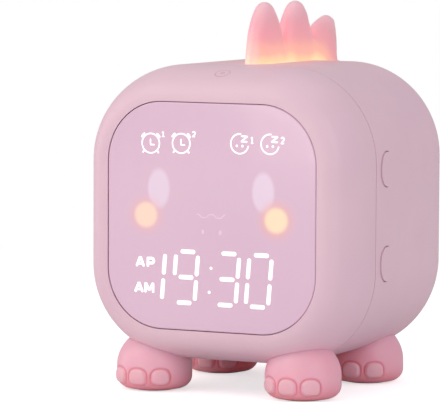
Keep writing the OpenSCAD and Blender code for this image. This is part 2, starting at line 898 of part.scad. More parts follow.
// Side view of a spike: two wide arcs that meet in a round tip
module spike_side(h, w, tip_r) {
    tip_z = h - tip_r;
    arc_r = (tip_z ^ 2 + w ^ 2 - tip_r ^ 2) / (2 * (w - tip_r));
    meet_z = tip_z * arc_r / (arc_r - tip_r);
    intersection() {
        translate([w - arc_r, 0]) circle(arc_r);
        translate([arc_r - w, 0]) circle(arc_r);
        translate([-w, 0]) square([2 * w, meet_z]);
    }
    translate([0, tip_z]) circle(tip_r);
    translate([-w, -spike_root]) square([2 * w, spike_root]);
}

// Front view of a spike: straight-sided, with a round tip
module spike_front(h) {
    tip_z = h - spike_front_tip_r;
    polygon([
        [-crest_t / 2, -spike_root], [crest_t / 2, -spike_root], [crest_t / 2, 0],
        [spike_front_tip_r, tip_z], [-spike_front_tip_r, tip_z], [-crest_t / 2, 0]
    ]);
    translate([0, tip_z]) circle(spike_front_tip_r);
}

// A spike is thick in the middle and thin towards its front and rear edges
module spike(h, w, tip_r) {
    half_l = w + lens_over;
    lens_r = (half_l ^ 2 + (crest_t / 2) ^ 2) / crest_t;
    intersection() {
        side_slab(crest_t) spike_side(h, w, tip_r);
        rotate([90, 0, 0]) linear_extrude(4 * w, center = true) spike_front(h);
        translate([0, 0, -spike_root]) linear_extrude(h + spike_root + over) intersection() {
            translate([lens_r - crest_t / 2, 0]) circle(lens_r);
            translate([crest_t / 2 - lens_r, 0]) circle(lens_r);
        }
    }
}

module crest_spikes() {
    for (i = [0, 1])
        on_line(y_front + spike_first_d + i * spike_pitch, top_z, 90)
            spike(spike_h, spike_half_w, spike_tip_r);
    for (lean = crest_back_angles)
        on_line(arc_y + rear_edge_r * cos(lean), arc_z + rear_edge_r * sin(lean), lean)
            spike(spike_h, spike_half_w, spike_tip_r);
    on_line(y_rear, crest_back_z, 0) spike(spike_h, spike_half_w, spike_tip_r);
    for (s = tail_spikes)
        on_line(ridge_y + s[0] * sin(tail_lean), ridge_z - s[0] * cos(tail_lean), tail_lean)
            spike(s[1], s[2], tail_spike_tip_r);
}

// Narrows the crest along the tail
module tail_wedge() {
    on_line(ridge_y, ridge_z, tail_lean) translate([0, 0, -far / 4]) linear_extrude(far) polygon([
        [-crest_t, -far], [crest_t, -far], [crest_t / 2, 0], [crest_end_t / 2, crest_end],
        [-crest_end_t / 2, crest_end], [-crest_t / 2, 0]
    ]);
}

// The tail's outer side, solid: what the crest sits on
module tail_side() {
    ridge_band(0, -ridge_depth, crest_end + ridge_over);
}

module glow_crest() color(crest_pink) {
    difference() {
        intersection() {
            union() {
                side_slab(crest_t) crest_band(strip_h, 0, crest_y, tail_top_z);
                side_slab(crest_t) ridge_band(strip_h, 0, crest_end);
                side_slab(web_t) crest_band(web_h, 0, crest_y + spike_half_w / 2, tail_top_z);
                side_slab(web_t) ridge_band(web_h, 0, crest_end - web_end);
                crest_spikes();
            }
            tail_wedge();
        }
        side_slab(2 * crest_t) under_line(0, crest_y - crest_t, ground_gap + rear_edge_r);
        intersection() {
            side_slab(2 * crest_t) tail_side();
            translate([-far / 2, 0, tail_top_z - far]) cube(far);
        }
    }
    side_slab(neck_w) crest_band(eps, -wall - neck_in, crest_y + neck_start, slot_end_z);
    side_slab(tongue_w) crest_tongue(0);
}

// Tongue under the crest that lies in a groove along the tail's ridge
module crest_tongue(grow) {
    translate([ridge_y, ridge_z]) rotate(tail_lean - 90)
        translate([tongue_start - grow, -tongue_d - grow])
        square([crest_end - 2 * tongue_start + 2 * grow, tongue_d + grow + eps]);
}

module light_channel() color(frosted) {
    side_slab(channel_w)
        crest_band(-channel_v, -channel_v - channel_t, crest_y, tail_sweep_z);
    for (side = [-1, 1]) translate([side * (channel_w - channel_t) / 2, 0, 0])
        side_slab(channel_t) crest_band(-wall, -channel_v - channel_t, crest_y, tail_sweep_z);
}

module crest_light_strip() color("#f4f1ea")
    side_slab(strip_w) crest_band(-led_v, -channel_v, crest_y + strip_inset, slot_end_z - strip_inset);

module crest_led() {
    translate([-led_w / 2, -led_w / 2, -led_v]) cube([led_w, led_w, led_h]);
}

module crest_leds() color("#f7e7a0") {
    for (i = [0:3]) on_line(crest_y + led_start + i * led_step, top_z, 90) crest_led();
    for (lean = crest_back_angles)
        on_line(arc_y + rear_edge_r * cos(lean), arc_z + rear_edge_r * sin(lean), lean) crest_led();
    on_line(y_rear, crest_back_z + led_back_up, 0) crest_led();
}

// ---------- tail ----------

// Round taper from the root ball to the tip ball, t inside the surface
module tail_taper(t) {
    half = asin((tail_root_r - tail_tip_r) / tail_axis_l);
    root = tail_root_r - t;
    tip = tail_tip_r - t;
    translate([0, root_y, root_z]) rotate([180 + tail_pitch, 0, 0]) {
        sphere(root);
        translate([0, 0, tail_axis_l]) sphere(tip);
        translate([0, 0, root * sin(half)])
            cylinder(
                h = tail_axis_l + (tip - root) * sin(half),
                r1 = root * cos(half), r2 = tip * cos(half)
            );
    }
}

module each_tail_screw() {
    for (side = [-1, 1])
        translate([side * tail_screw_x, 0, tail_screw_z - mid_z]) children();
}

module tail() color(shell_pink) difference() {
    union() {
        difference() {
            union() {
                tail_taper(0);
                side_slab(crest_t + 2 * tail_shoulder) intersection() {
                    ridge_band(0, -ridge_depth, ridge_over);
                    translate([-far / 2, tail_top_z - far]) square(far);
                }
            }
            difference() {
                tail_taper(wall);
                side_slab(crest_t + 2 * tail_shoulder) ridge_band(over, -tail_floor, crest_end);
            }
        }
        intersection() {
            each_tail_screw() rod(0, 0, body_d - wall, body_d + tail_boss_l, tail_boss_r);
            tail_taper(wall / 2);
        }
    }
    for (side = [-1, 1]) casing_quarter(0, side, -1);
    depth_range(0, body_d - rear_edge_r);
    depth_range(0, body_d - eps, mid_z);
    each_tail_screw() rod(0, 0, body_d - wall, body_d + tail_bite + hole_over, screw_r + fit);
    side_slab(tongue_w + 2 * neck_gap) crest_tongue(neck_gap);
}

module tail_screws() color(steel)
    each_tail_screw() at(0, body_d - wall, 0) mirror([0, 0, 1]) screw(wall + tail_bite);

// ---------- feet ----------

// Flat inside the shell over each foot, where its screw bears
module foot_seat(d) {
    for (side = [-1, 1]) intersection() {
        translate([side * foot_x, y_front + d, ground_gap])
            cylinder(h = foot_pad_z - ground_gap, r = foot_pad_r);
        casing_quarter(wall / 2, side, -1);
    }
}

module foot_screw_holes(d) {
    for (side = [-1, 1])
        translate([side * foot_x, y_front + d, 0]) cylinder(h = foot_pad_z + over, r = screw_r + fit);
}

// Round peg with a rounded end, from height z0 to z1
module toenail(z0, z1) {
    translate([0, 0, z0]) cylinder(h = z1 - nail_edge_r - z0, r = nail_r);
    translate([0, 0, z0]) cylinder(h = z1 - z0, r = nail_r - nail_edge_r);
    translate([0, 0, z1 - nail_edge_r]) rotate_extrude()
        translate([nail_r - nail_edge_r, 0]) intersection() {
            circle(nail_edge_r);
            square(nail_edge_r);
        }
}

module foot(side, d) color(foot_pink) {
    translate([side * foot_x, y_front + d, 0]) difference() {
        union() {
            rotate_extrude() {
                translate([0, foot_mid_z]) intersection() {
                    circle(foot_r);
                    square(foot_r);
                }
                polygon([
                    [0, foot_bottom_z], [foot_r - foot_edge_r, foot_bottom_z],
                    [foot_r - foot_edge_r, foot_edge_z], [foot_r, foot_edge_z],
                    [foot_r, foot_mid_z], [0, foot_mid_z]
                ]);
                translate([foot_r - foot_edge_r, foot_edge_z]) intersection() {
                    circle(foot_edge_r);
                    translate([0, -foot_edge_r]) square(foot_edge_r);
                }
            }
            for (turn = [-1, 0, 1]) rotate(turn * nail_step)
                translate([0, 0, nail_z]) rotate([90, 0, 0]) toenail(foot_r / 2, foot_r + nail_proud);
        }
        translate([0, 0, foot_pad_z - foot_screw_l - hole_over])
            cylinder(h = foot_screw_l, r = screw_r + fit);
        translate([0, 0, foot_bottom_z - over])
            cylinder(h = pad_t - foot_bottom_z + over, r = pad_r);
        translate([-side * foot_x, -y_front - d, 0]) casing_quarter(0, side, -1);
    }
}

module foot_front_left() foot(-1, foot_front_d);
module foot_front_right() foot(1, foot_front_d);
module foot_rear_left() foot(-1, foot_rear_d);
module foot_rear_right() foot(1, foot_rear_d);

module each_foot() {
    for (side = [-1, 1], d = [foot_front_d, foot_rear_d])
        translate([side * foot_x, y_front + d, 0]) children();
}

module foot_pads() color("#d98a9b") each_foot() cylinder(h = pad_t, r = pad_r);

module foot_screws() color(steel) each_foot() translate([0, 0, foot_pad_z]) screw(foot_screw_l);

// ---------- side buttons ----------

module button_cap(zc) color(shell_pink) {
    intersection() {
        button_prism(zc, 0, cap_back_x, body_w);
        casing_quarter(-button_proud, 1, sign(zc));
    }
    intersection() {
        button_prism(zc, flange_reach, cap_back_x - 2 * over, body_w);
        difference() {
            casing_quarter(wall + flange_gap, 1, sign(zc));
            casing_quarter(wall + flange_gap + flange_t, 1, sign(zc));
        }
    }
    at_button(cap_back_x - stem_l, zc) rotate([0, 90, 0])
        cylinder(h = stem_l + stem_in, r = stem_r);
}

module button_upper_right() button_cap(button_up);
module button_lower_right() button_cap(-button_down);
module button_upper_left() mirror([1, 0, 0]) button_cap(button_up);
module button_lower_left() mirror([1, 0, 0]) button_cap(-button_down);

module plunger(zc, grow) {
    at_button(switch_top_x - plunger_in - grow, zc) rotate([0, 90, 0])
        cylinder(h = plunger_in + plunger_out + grow, r = plunger_r + grow);
}

module plunger_upper_right() color(black_part) plunger(button_up, 0);
module plunger_lower_right() color(black_part) plunger(-button_down, 0);
module plunger_upper_left() color(black_part) mirror([1, 0, 0]) plunger(button_up, 0);
module plunger_lower_left() color(black_part) mirror([1, 0, 0]) plunger(-button_down, 0);

module switch_pair() {
    for (zc = [button_up, -button_down]) difference() {
        at_button(switch_top_x - switch_h, zc)
            translate([0, -switch_size / 2, -switch_size / 2])
            cube([switch_h, switch_size, switch_size]);
        translate([-button_travel, 0, 0]) plunger(zc, plunger_gap);
        plunger(zc, plunger_gap);
    }
}

module switches_right() color(steel) switch_pair();
module switches_left() color(steel) mirror([1, 0, 0]) switch_pair();

module button_board() {
    difference() {
        at_button(button_board_x, button_mid_z)
            translate([0, -button_board_size[0] / 2, -button_board_size[1] / 2])
            cube([board_t, button_board_size[0], button_board_size[1]]);
        button_axes(button_board_x - over, board_t + 2 * over, screw_r + fit);
    }
}

module button_board_right() color(board_green) button_board();
module button_board_left() color(board_green) mirror([1, 0, 0]) button_board();

module button_board_screws() color(steel)
    for (side = [-1, 1], step = [-1, 1])
        at_button(side * button_board_x, button_mid_z + step * button_post_step)
            rotate([0, -side * 90, 0]) screw(board_t + screw_bite);

// ---------- charging, battery, speaker ----------

module charge_board() color(board_green) difference() {
    at(charge_board_x, charge_v, port_z)
        translate([-charge_board_size[0] / 2, -charge_board_size[1] / 2, 0])
        cube([charge_board_size[0], charge_board_size[1], board_t]);
    each_charge_post() rod(0, 0, charge_v - over, charge_v + board_t + over, screw_r + fit);
}

module usb_socket() color(steel) {
    port_back_v = charge_v + board_t;
    port_front_v = body_d - port_sunk;
    difference() {
        at(port_x, port_back_v, port_z)
            linear_extrude(port_front_v - port_back_v) rotate(90) oval(port_h, port_w);
        at(port_x, port_front_v - port_deep, port_z)
            linear_extrude(port_deep + over) rotate(90)
            oval(port_h - 2 * port_wall, port_w - 2 * port_wall);
    }
    at(port_x, port_front_v - port_deep - eps, port_z)
        linear_extrude(port_deep - blade_in) square([blade_w, blade_t], center = true);
}

module charge_board_screws() color(steel)
    each_charge_post() at(0, charge_v, 0) mirror([0, 0, 1]) screw(board_t + screw_bite);

module battery_cell() color("#4f86c6")
    translate([-cell_l / 2, y_front + cell_v, mid_z + holder_z]) rotate([0, 90, 0])
        cylinder(h = cell_l, r = cell_r);

module battery_holder() color(black_part) {
    inner_l = cell_l + 2 * contact_t;
    side_z = cell_r + cell_gap;
    end_v = cell_v - cell_r + holder_end_low;
    difference() {
        union() {
            at(0, holder_v - holder_t, holder_z)
                translate([-inner_l / 2 - holder_t, -side_z - holder_t, 0])
                cube([inner_l + 2 * holder_t, 2 * (side_z + holder_t), holder_t]);
            at(0, holder_v - holder_t, holder_z)
                translate([-holder_ear_x, -holder_ear_r, 0])
                cube([2 * holder_ear_x, 2 * holder_ear_r, holder_t]);
            for (sx = [-1, 1]) {
                rod(sx * holder_ear_x, holder_z, holder_v - holder_t, holder_v, holder_ear_r);
                at(sx * (inner_l + holder_t) / 2, end_v, holder_z)
                    translate([-holder_t / 2, -side_z - holder_t, 0])
                    cube([holder_t, 2 * (side_z + holder_t), holder_v - end_v]);
            }
            for (sz = [-1, 1])
                at(0, cell_v, holder_z + sz * (side_z + holder_t / 2))
                    translate([-inner_l / 2, -holder_t / 2, 0])
                    cube([inner_l, holder_t, holder_v - cell_v]);
        }
        for (sx = [-1, 1])
            rod(sx * holder_ear_x, holder_z, holder_v - holder_t - over, holder_v + over, screw_r + fit);
    }
}

module battery_contacts() color(steel)
    for (sx = [-1, 1])
        at(sx * (cell_l + contact_t) / 2, cell_v - contact_w / 2, holder_z)
            translate([-contact_t / 2, -contact_w / 2, 0]) cube([contact_t, contact_w, contact_w]);

module battery_holder_screws() color(steel)
    for (sx = [-1, 1])
        at(sx * holder_ear_x, holder_v - holder_t, holder_z) mirror([0, 0, 1])
            screw(holder_t + holder_bite);

module at_speaker(z) {
    translate([0, y_front + speaker_v, speaker_z + z]) children();
}

module speaker_frame() color(black_part) at_speaker(0) difference() {
    union() {
        cylinder(h = speaker_flange_t, r = speaker_r);
        translate([0, 0, speaker_flange_t - eps])
            cylinder(h = speaker_deep, r1 = speaker_r - frame_rim + frame_t, r2 = speaker_neck_r);
    }
    translate([0, 0, -eps]) cylinder(h = speaker_flange_t + 2 * eps, r = speaker_r - frame_rim);
    translate([0, 0, speaker_flange_t - eps])
        cylinder(h = speaker_deep - frame_t, r1 = speaker_r - frame_rim, r2 = speaker_neck_r - frame_t);
}

module speaker_cone() color("#4a4a4e") at_speaker(0) difference() {
    wide_r = speaker_r - frame_rim - cone_rim;
    union() {
        cylinder(h = cone_t, r = speaker_r - frame_rim);
        cylinder(h = cone_h, r1 = wide_r, r2 = cone_tip_r);
    }
    translate([0, 0, -eps])
        cylinder(h = cone_h - cone_t, r1 = wide_r - cone_t, r2 = cone_tip_r - cone_t);
}

module speaker_magnet() color(steel)
    at_speaker(speaker_flange_t + speaker_deep - eps) cylinder(h = magnet_h, r = speaker_neck_r);

module speaker_retainer() color(frosted) at_speaker(speaker_flange_t) difference() {
    union() {
        cylinder(h = retainer_t, r = speaker_r + retainer_over);
        for (side = [-1, 1])
            translate([side * retainer_x, 0, 0]) cylinder(h = retainer_t, r = retainer_ear_r);
    }
    translate([0, 0, -eps]) cylinder(h = retainer_t + over, r = speaker_r - retainer_in);
    for (side = [-1, 1])
        translate([side * retainer_x, 0, -over])
            cylinder(h = retainer_t + 2 * over, r = screw_r + fit);
}

module speaker_screws() color(steel)
    for (side = [-1, 1])
        at_speaker(speaker_flange_t + retainer_t) translate([side * retainer_x, 0, 0])
            screw(retainer_t + retainer_bite);

// ---------- touch sensor and leads ----------

module touch_plate() color("#c98a4b") intersection() {
    difference() {
        for (side = [-1, 1]) casing_quarter(wall, side, 1);
        for (side = [-1, 1]) casing_quarter(wall + touch_t, side, 1);
    }
    translate([0, y_front + front_round_d, mid_z + corner_z])
        rotate([touch_lean, 0, 0]) cylinder(h = corner_r, r = touch_r);
}

module touch_lead() color("#c98a4b") {
    reach = corner_r - wall - touch_t;
    v = board_back_v + touch_lead_out;
    rise = corner_z + sqrt(reach ^ 2 - (front_round_d - v) ^ 2);
    top = ceil(rise / lead_step) * lead_step;
    lead([[0, v, top], [0, v, touch_lead_z], [0, board_back_v, touch_lead_z]], touch_lead_r);
}

module crest_wires() color(lead_white) {
    level = body_h / 2 - led_v - strip_t / 2;
    lead([
        [crest_lead_x, socket_v, sockets_xz[3][1]], [crest_lead_x, crest_lead_v, sockets_xz[3][1]],
        [crest_lead_x, crest_lead_v, level], [crest_lead_x, crest_start_d + strip_inset, level]
    ], strip_t / 2);
}

module button_wires(side) {
    x = side * sockets_xz[1][0];
    lead([[x, socket_v, 0], [x, button_d, 0], [side * button_board_x, button_d, 0]], lead_r);
}

module button_wires_left() color(lead_white) button_wires(-1);
module button_wires_right() color(lead_white) button_wires(1);

module speaker_wires() color(lead_red) {
    z = sockets_xz[4][1];
    top = speaker_z + speaker_flange_t + speaker_deep + magnet_h - mid_z;
    lead([
        [speaker_lead_x, socket_v, z], [speaker_lead_x, speaker_v, z],
        [speaker_lead_x, speaker_v, top]
    ], lead_r);
}

module battery_wires() color(lead_red) {
    x = -(cell_l + contact_t) / 2;
    v = cell_v - contact_w / 2 + battery_lead_in;
    z = port_z - charge_lead_z;
    lead([
        [x, v, holder_z + contact_w / 2], [x, v, z],
        [charge_board_x, v, z], [charge_board_x, charge_v, z]
    ], contact_t / 2);
}

module charge_wires() color(lead_white) {
    x = sockets_xz[2][0];
    low = sockets_xz[2][1];
    high = low + charge_lead_rise;
    lead([
        [x, charge_v, low], [x, charge_v - charge_lead_out, low], [x, charge_v - charge_lead_out, high],
        [x, socket_v + charge_lead_out, high], [x, socket_v + charge_lead_out, low], [x, socket_v, low]
    ], lead_r);
}

front_bezel();
face_lens();
lens_tape();
diffuser_film();
segment_mask();
display_board();
display_leds();
controller_chip();
board_sockets();
display_screws();
case_screws();
rear_housing();
glow_crest();
light_channel();
crest_light_strip();
crest_leds();
tail();
tail_screws();
foot_front_left();
foot_front_right();
foot_rear_left();
foot_rear_right();
foot_pads();
foot_screws();
button_upper_left();
button_lower_left();
button_upper_right();
button_lower_right();
plunger_upper_left();
plunger_lower_left();
plunger_upper_right();
plunger_lower_right();
switches_left();
switches_right();
button_board_left();
button_board_right();
button_board_screws();
charge_board();
usb_socket();
charge_board_screws();
battery_cell();
battery_holder();
battery_contacts();
battery_holder_screws();
speaker_frame();
speaker_cone();
speaker_magnet();
speaker_retainer();
speaker_screws();
touch_plate();
touch_lead();
crest_wires();
button_wires_left();
button_wires_right();
speaker_wires();
battery_wires();
charge_wires();
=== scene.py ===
"""Looks of a children's alarm clock with a night light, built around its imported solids.

The frame gives the casing, buttons, tail and everything inside. The crest, the feet, the front
lens, what shines through it and the touch mark are surfaces worked out here, each a function of
two parameters.
Lengths are written in millimetres and turned into metres where a mesh is made.
"""

import json
import math

import bmesh
import bpy
import numpy as np
from mathutils import Matrix, Vector


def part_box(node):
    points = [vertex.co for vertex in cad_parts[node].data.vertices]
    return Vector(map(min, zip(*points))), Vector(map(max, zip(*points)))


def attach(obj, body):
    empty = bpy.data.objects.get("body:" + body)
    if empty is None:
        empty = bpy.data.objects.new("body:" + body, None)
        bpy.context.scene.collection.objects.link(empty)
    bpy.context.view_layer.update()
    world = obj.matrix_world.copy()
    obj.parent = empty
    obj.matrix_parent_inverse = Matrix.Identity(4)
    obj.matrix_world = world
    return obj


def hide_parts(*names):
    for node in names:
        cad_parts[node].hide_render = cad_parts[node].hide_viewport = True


MM = 0.001

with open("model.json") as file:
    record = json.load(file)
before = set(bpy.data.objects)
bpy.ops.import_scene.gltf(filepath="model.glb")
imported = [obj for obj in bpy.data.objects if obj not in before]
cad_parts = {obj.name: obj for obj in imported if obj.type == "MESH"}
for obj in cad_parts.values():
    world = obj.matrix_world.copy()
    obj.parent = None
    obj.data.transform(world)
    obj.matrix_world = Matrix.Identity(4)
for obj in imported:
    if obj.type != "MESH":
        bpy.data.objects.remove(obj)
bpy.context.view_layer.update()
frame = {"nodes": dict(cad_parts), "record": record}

# ---------- measures of the clock, in millimetres ----------

bezel_low, bezel_high = (np.array(p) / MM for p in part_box("front_bezel"))
housing_high = np.array(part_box("rear_housing")[1]) / MM
lens_low, lens_high = (np.array(p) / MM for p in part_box("face_lens"))

FRONT_Y = bezel_low[1]
REAR_Y = housing_high[1]
BODY_DEPTH = REAR_Y - FRONT_Y
BODY_WIDTH = bezel_high[0] - bezel_low[0]
BODY_TOP = bezel_high[2]
BODY_HEIGHT = bezel_high[2] - bezel_low[2]
BODY_MIDDLE_Z = BODY_TOP - BODY_HEIGHT / 2
FACE_Z = (lens_low[2] + lens_high[2]) / 2

# The casing's roundings, as in its source
CORNER_R = 33.5
FRONT_INSET = 11.6
FRONT_ROUND_DEPTH = 21.0
REAR_EDGE_R = 22.0
EDGE_U = CORNER_R - FRONT_INSET
FRONT_EDGE_R = (2 * FRONT_INSET * CORNER_R - FRONT_INSET**2 - FRONT_ROUND_DEPTH**2) / (
    2 * (CORNER_R - FRONT_ROUND_DEPTH)
)
CORNER_X = BODY_WIDTH / 2 - CORNER_R
CORNER_Z = BODY_HEIGHT / 2 - CORNER_R

LENS_WIDTH = lens_high[0] - lens_low[0]
LENS_HEIGHT = lens_high[2] - lens_low[2]
LENS_THICKNESS = lens_high[1] - lens_low[1]
LENS_CORNER_R = EDGE_U - (BODY_WIDTH - 2 * FRONT_INSET - LENS_WIDTH) / 2


def linear(red, green, blue):
    """Colour as it shows on screen, 0 to 255, turned into the renderer's linear values."""
    screen = np.array([red, green, blue]) / 255
    low = screen / 12.92
    high = ((screen + 0.055) / 1.055) ** 2.4
    return tuple(np.where(screen <= 0.04045, low, high)) + (1.0,)


# ---------- meshes from arrays ----------

# Points closer together than this are one point
WELD = 0.002


class Pile:
    """Surfaces gathered into one mesh. Each is a grid of points with its own map."""

    def __init__(self):
        self.points, self.maps, self.faces, self.count = [], [], [], 0

    def add(self, grid, wrap_rows=False, wrap_columns=False, chart=None):
        """Adds a grid of shape (rows, columns, 3); wrap joins its last line to its first."""
        rows, columns = grid.shape[:2]
        index = np.arange(rows * columns).reshape(rows, columns) + self.count
        if wrap_rows:
            index = np.concatenate([index, index[:1]])
        if wrap_columns:
            index = np.concatenate([index, index[:, :1]], axis=1)
        corners = [index[:-1, :-1], index[1:, :-1], index[1:, 1:], index[:-1, 1:]]
        self.faces.append(np.stack(corners, axis=-1).reshape(-1, 4))
        self.points.append(grid.reshape(-1, 3))
        if chart is None:
            chart = np.zeros((rows, columns, 2))
        self.maps.append(chart.reshape(-1, 2))
        self.count += rows * columns
        return self

    def make(self, name, material, body, slot, attributes=None):
        """Writes the mesh in metres, closes seams and poles, and puts the piece on its body."""
        points = np.concatenate(self.points) * MM
        faces = np.concatenate(self.faces)
        chart = np.concatenate(self.maps)
        mesh = bpy.data.meshes.new(name)
        mesh.vertices.add(len(points))
        mesh.vertices.foreach_set("co", points.astype(np.float32).ravel())
        mesh.loops.add(faces.size)
        mesh.loops.foreach_set("vertex_index", faces.astype(np.int32).ravel())
        mesh.polygons.add(len(faces))
        mesh.polygons.foreach_set("loop_start", np.arange(0, faces.size, 4, dtype=np.int32))
        mesh.update(calc_edges=True)
        layer = mesh.uv_layers.new(name="chart")
        layer.data.foreach_set("uv", chart[faces.ravel()].astype(np.float32).ravel())
        for label, values in (attributes or {}).items():
            stored = mesh.attributes.new(label, "FLOAT", "POINT")
            stored.data.foreach_set("value", values.astype(np.float32).ravel())
        weld = bmesh.new()
        weld.from_mesh(mesh)
        bmesh.ops.remove_doubles(weld, verts=weld.verts, dist=WELD * MM)
        bmesh.ops.recalc_face_normals(weld, faces=weld.faces)
        weld.to_mesh(mesh)
        weld.free()
        mesh.polygons.foreach_set("use_smooth", np.ones(len(mesh.polygons), bool))
        mesh.materials.append(material)
        piece = bpy.data.objects.new(name, mesh)
        bpy.context.scene.collection.objects.link(piece)
        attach(piece, body)
        return piece


# ---------- shader tools ----------


def put(tree, kind, sockets=None, **settings):
    """Places a node. A socket given another node's output is linked, any other value is set."""
    made = tree.nodes.new("ShaderNode" + kind)
    for label, value in settings.items():
        setattr(made, label, value)
    for label, value in (sockets or {}).items():
        if isinstance(value, bpy.types.NodeSocket):
            tree.links.new(value, made.inputs[label])
        else:
            made.inputs[label].default_value = value
    return made


def blend_colour(tree, factor, first, second):
    """Mixes two colours by a factor."""
    made = tree.nodes.new("ShaderNodeMix")
    made.data_type = "RGBA"
    for index, value in ((0, factor), (6, first), (7, second)):
        if isinstance(value, bpy.types.NodeSocket):
            tree.links.new(value, made.inputs[index])
        else:
            made.inputs[index].default_value = value
    return made.outputs[2]


def calculate(tree, operation, first, second=0.0, clamp=False):
    """One sum on two numbers."""
    made = tree.nodes.new("ShaderNodeMath")
    made.operation = operation
    made.use_clamp = clamp
    for index, value in ((0, first), (1, second)):
        if isinstance(value, bpy.types.NodeSocket):
            tree.links.new(value, made.inputs[index])
        else:
            made.inputs[index].default_value = value
    return made.outputs[0]


def ramp(tree, factor, stops):
    """Colours along a number, as (place, colour) stops."""
    made = tree.nodes.new("ShaderNodeValToRGB")
    band = made.color_ramp
    band.interpolation = "EASE"
    while len(band.elements) < len(stops):
        band.elements.new(1.0)
    for element, (place, colour) in zip(band.elements, stops):
        element.position = place
        element.color = colour
    tree.links.new(factor, made.inputs[0])
    return made.outputs[0]


def spread(tree, value, low, high, to_low=0.0, to_high=1.0):
    """Stretches a number from one range to another, and holds it at the ends."""
    made = put(
        tree,
        "MapRange",
        {"Value": value, "From Min": low, "From Max": high, "To Min": to_low, "To Max": to_high},
    )
    return made.outputs[0]


def object_place(tree):
    """Place on the object, in metres."""
    return tree.nodes.new("ShaderNodeTexCoord").outputs["Object"]


def shader_group(name, inputs, outputs, build):
    """A node group with named sockets, filled in by build(tree, inputs) -> {output: socket}."""
    tree = bpy.data.node_groups.new(name, "ShaderNodeTree")
    for label, kind, value in inputs:
        socket = tree.interface.new_socket(name=label, in_out="INPUT", socket_type=kind)
        if value is not None:
            socket.default_value = value
    for label, kind in outputs:
        tree.interface.new_socket(name=label, in_out="OUTPUT", socket_type=kind)
    entry = tree.nodes.new("NodeGroupInput")
    leave = tree.nodes.new("NodeGroupOutput")
    for label, socket in build(tree, entry.outputs).items():
        tree.links.new(socket, leave.inputs[label])
    return tree


def use(tree, group, sockets):
    """Places a shader group with its own values."""
    made = tree.nodes.new("ShaderNodeGroup")
    made.node_tree = group
    for label, value in sockets.items():
        if isinstance(value, bpy.types.NodeSocket):
            tree.links.new(value, made.inputs[label])
        else:
            made.inputs[label].default_value = value
    return made.outputs


NUMBER, COLOUR, PLACE = "NodeSocketFloat", "NodeSocketColor", "NodeSocketVector"


def build_moulded_grain(tree, given):
    """Fine skin of a moulded face: two sizes of noise, and a roughness that wanders a little."""
    fine = put(
        tree, "TexNoise", {"Vector": given["Place"], "Scale": given["Grain"], "Detail": 3.0}
    )
    wide = put(
        tree, "TexNoise", {"Vector": given["Place"], "Scale": 90.0, "Detail": 2.0, "Roughness": 0.4}
    )
    height = calculate(
        tree,
        "ADD",
        calculate(tree, "MULTIPLY", fine.outputs["Fac"], 0.7),
        calculate(tree, "MULTIPLY", wide.outputs["Fac"], 0.3),
    )
    shift = spread(tree, wide.outputs["Fac"], 0.3, 0.7, -1.0, 1.0)
    rough = calculate(
        tree, "ADD", given["Roughness"], calculate(tree, "MULTIPLY", shift, given["Wander"]), True
    )
    return {"Height": height, "Roughness": rough}


moulded_grain = shader_group(
    "moulded grain",
    [
        ("Place", PLACE, None),
        ("Grain", NUMBER, 2500.0),
        ("Roughness", NUMBER, 0.4),
        ("Wander", NUMBER, 0.04),
    ],
    [("Height", NUMBER), ("Roughness", NUMBER)],
    build_moulded_grain,
)


def build_pigment_drift(tree, given):
    """Dyed plastic is never one colour: a slow drift between two shades, with a faint cloud."""
    slow = put(
        tree, "TexNoise", {"Vector": given["Place"], "Scale": given["Patches"], "Detail": 2.0}
    )
    cloud = put(
        tree, "TexNoise", {"Vector": given["Place"], "Scale": 260.0, "Detail": 4.0}
    )
    mixed = calculate(
        tree,
        "ADD",
        calculate(tree, "MULTIPLY", spread(tree, slow.outputs["Fac"], 0.35, 0.65), 0.8),
        calculate(tree, "MULTIPLY", cloud.outputs["Fac"], 0.2),
        True,
    )
    return {"Colour": blend_colour(tree, mixed, given["Shade"], given["Other shade"])}


pigment_drift = shader_group(
    "pigment drift",
    [
        ("Place", PLACE, None),
        ("Shade", COLOUR, (0.8, 0.5, 0.6, 1.0)),
        ("Other shade", COLOUR, (0.8, 0.5, 0.6, 1.0)),
        ("Patches", NUMBER, 25.0),
    ],
    [("Colour", COLOUR)],
    build_pigment_drift,
)


def build_settled_dust(tree, given):
    """Fine dust where a face looks up: the normal's height times a patchy noise."""
    facing = put(tree, "NewGeometry").outputs["Normal"]
    up = put(tree, "SeparateXYZ", {"Vector": facing}).outputs["Z"]
    specks = put(
        tree,
        "TexNoise",
        {"Vector": given["Place"], "Scale": 700.0, "Detail": 5.0, "Roughness": 0.7},
    )
    patchy = spread(tree, specks.outputs["Fac"], 0.45, 0.75)
    mask = calculate(
        tree,
        "MULTIPLY",
        calculate(tree, "MULTIPLY", spread(tree, up, 0.5, 1.0), patchy),
        given["Amount"],
        True,
    )
    return {"Colour": blend_colour(tree, mask, given["Colour"], given["Dust"]), "Mask": mask}


settled_dust = shader_group(
    "settled dust",
    [
        ("Place", PLACE, None),
        ("Colour", COLOUR, (0.8, 0.5, 0.6, 1.0)),
        ("Dust", COLOUR, (0.8, 0.76, 0.74, 1.0)),
        ("Amount", NUMBER, 0.2),
    ],
    [("Colour", COLOUR), ("Mask", NUMBER)],
    build_settled_dust,
)


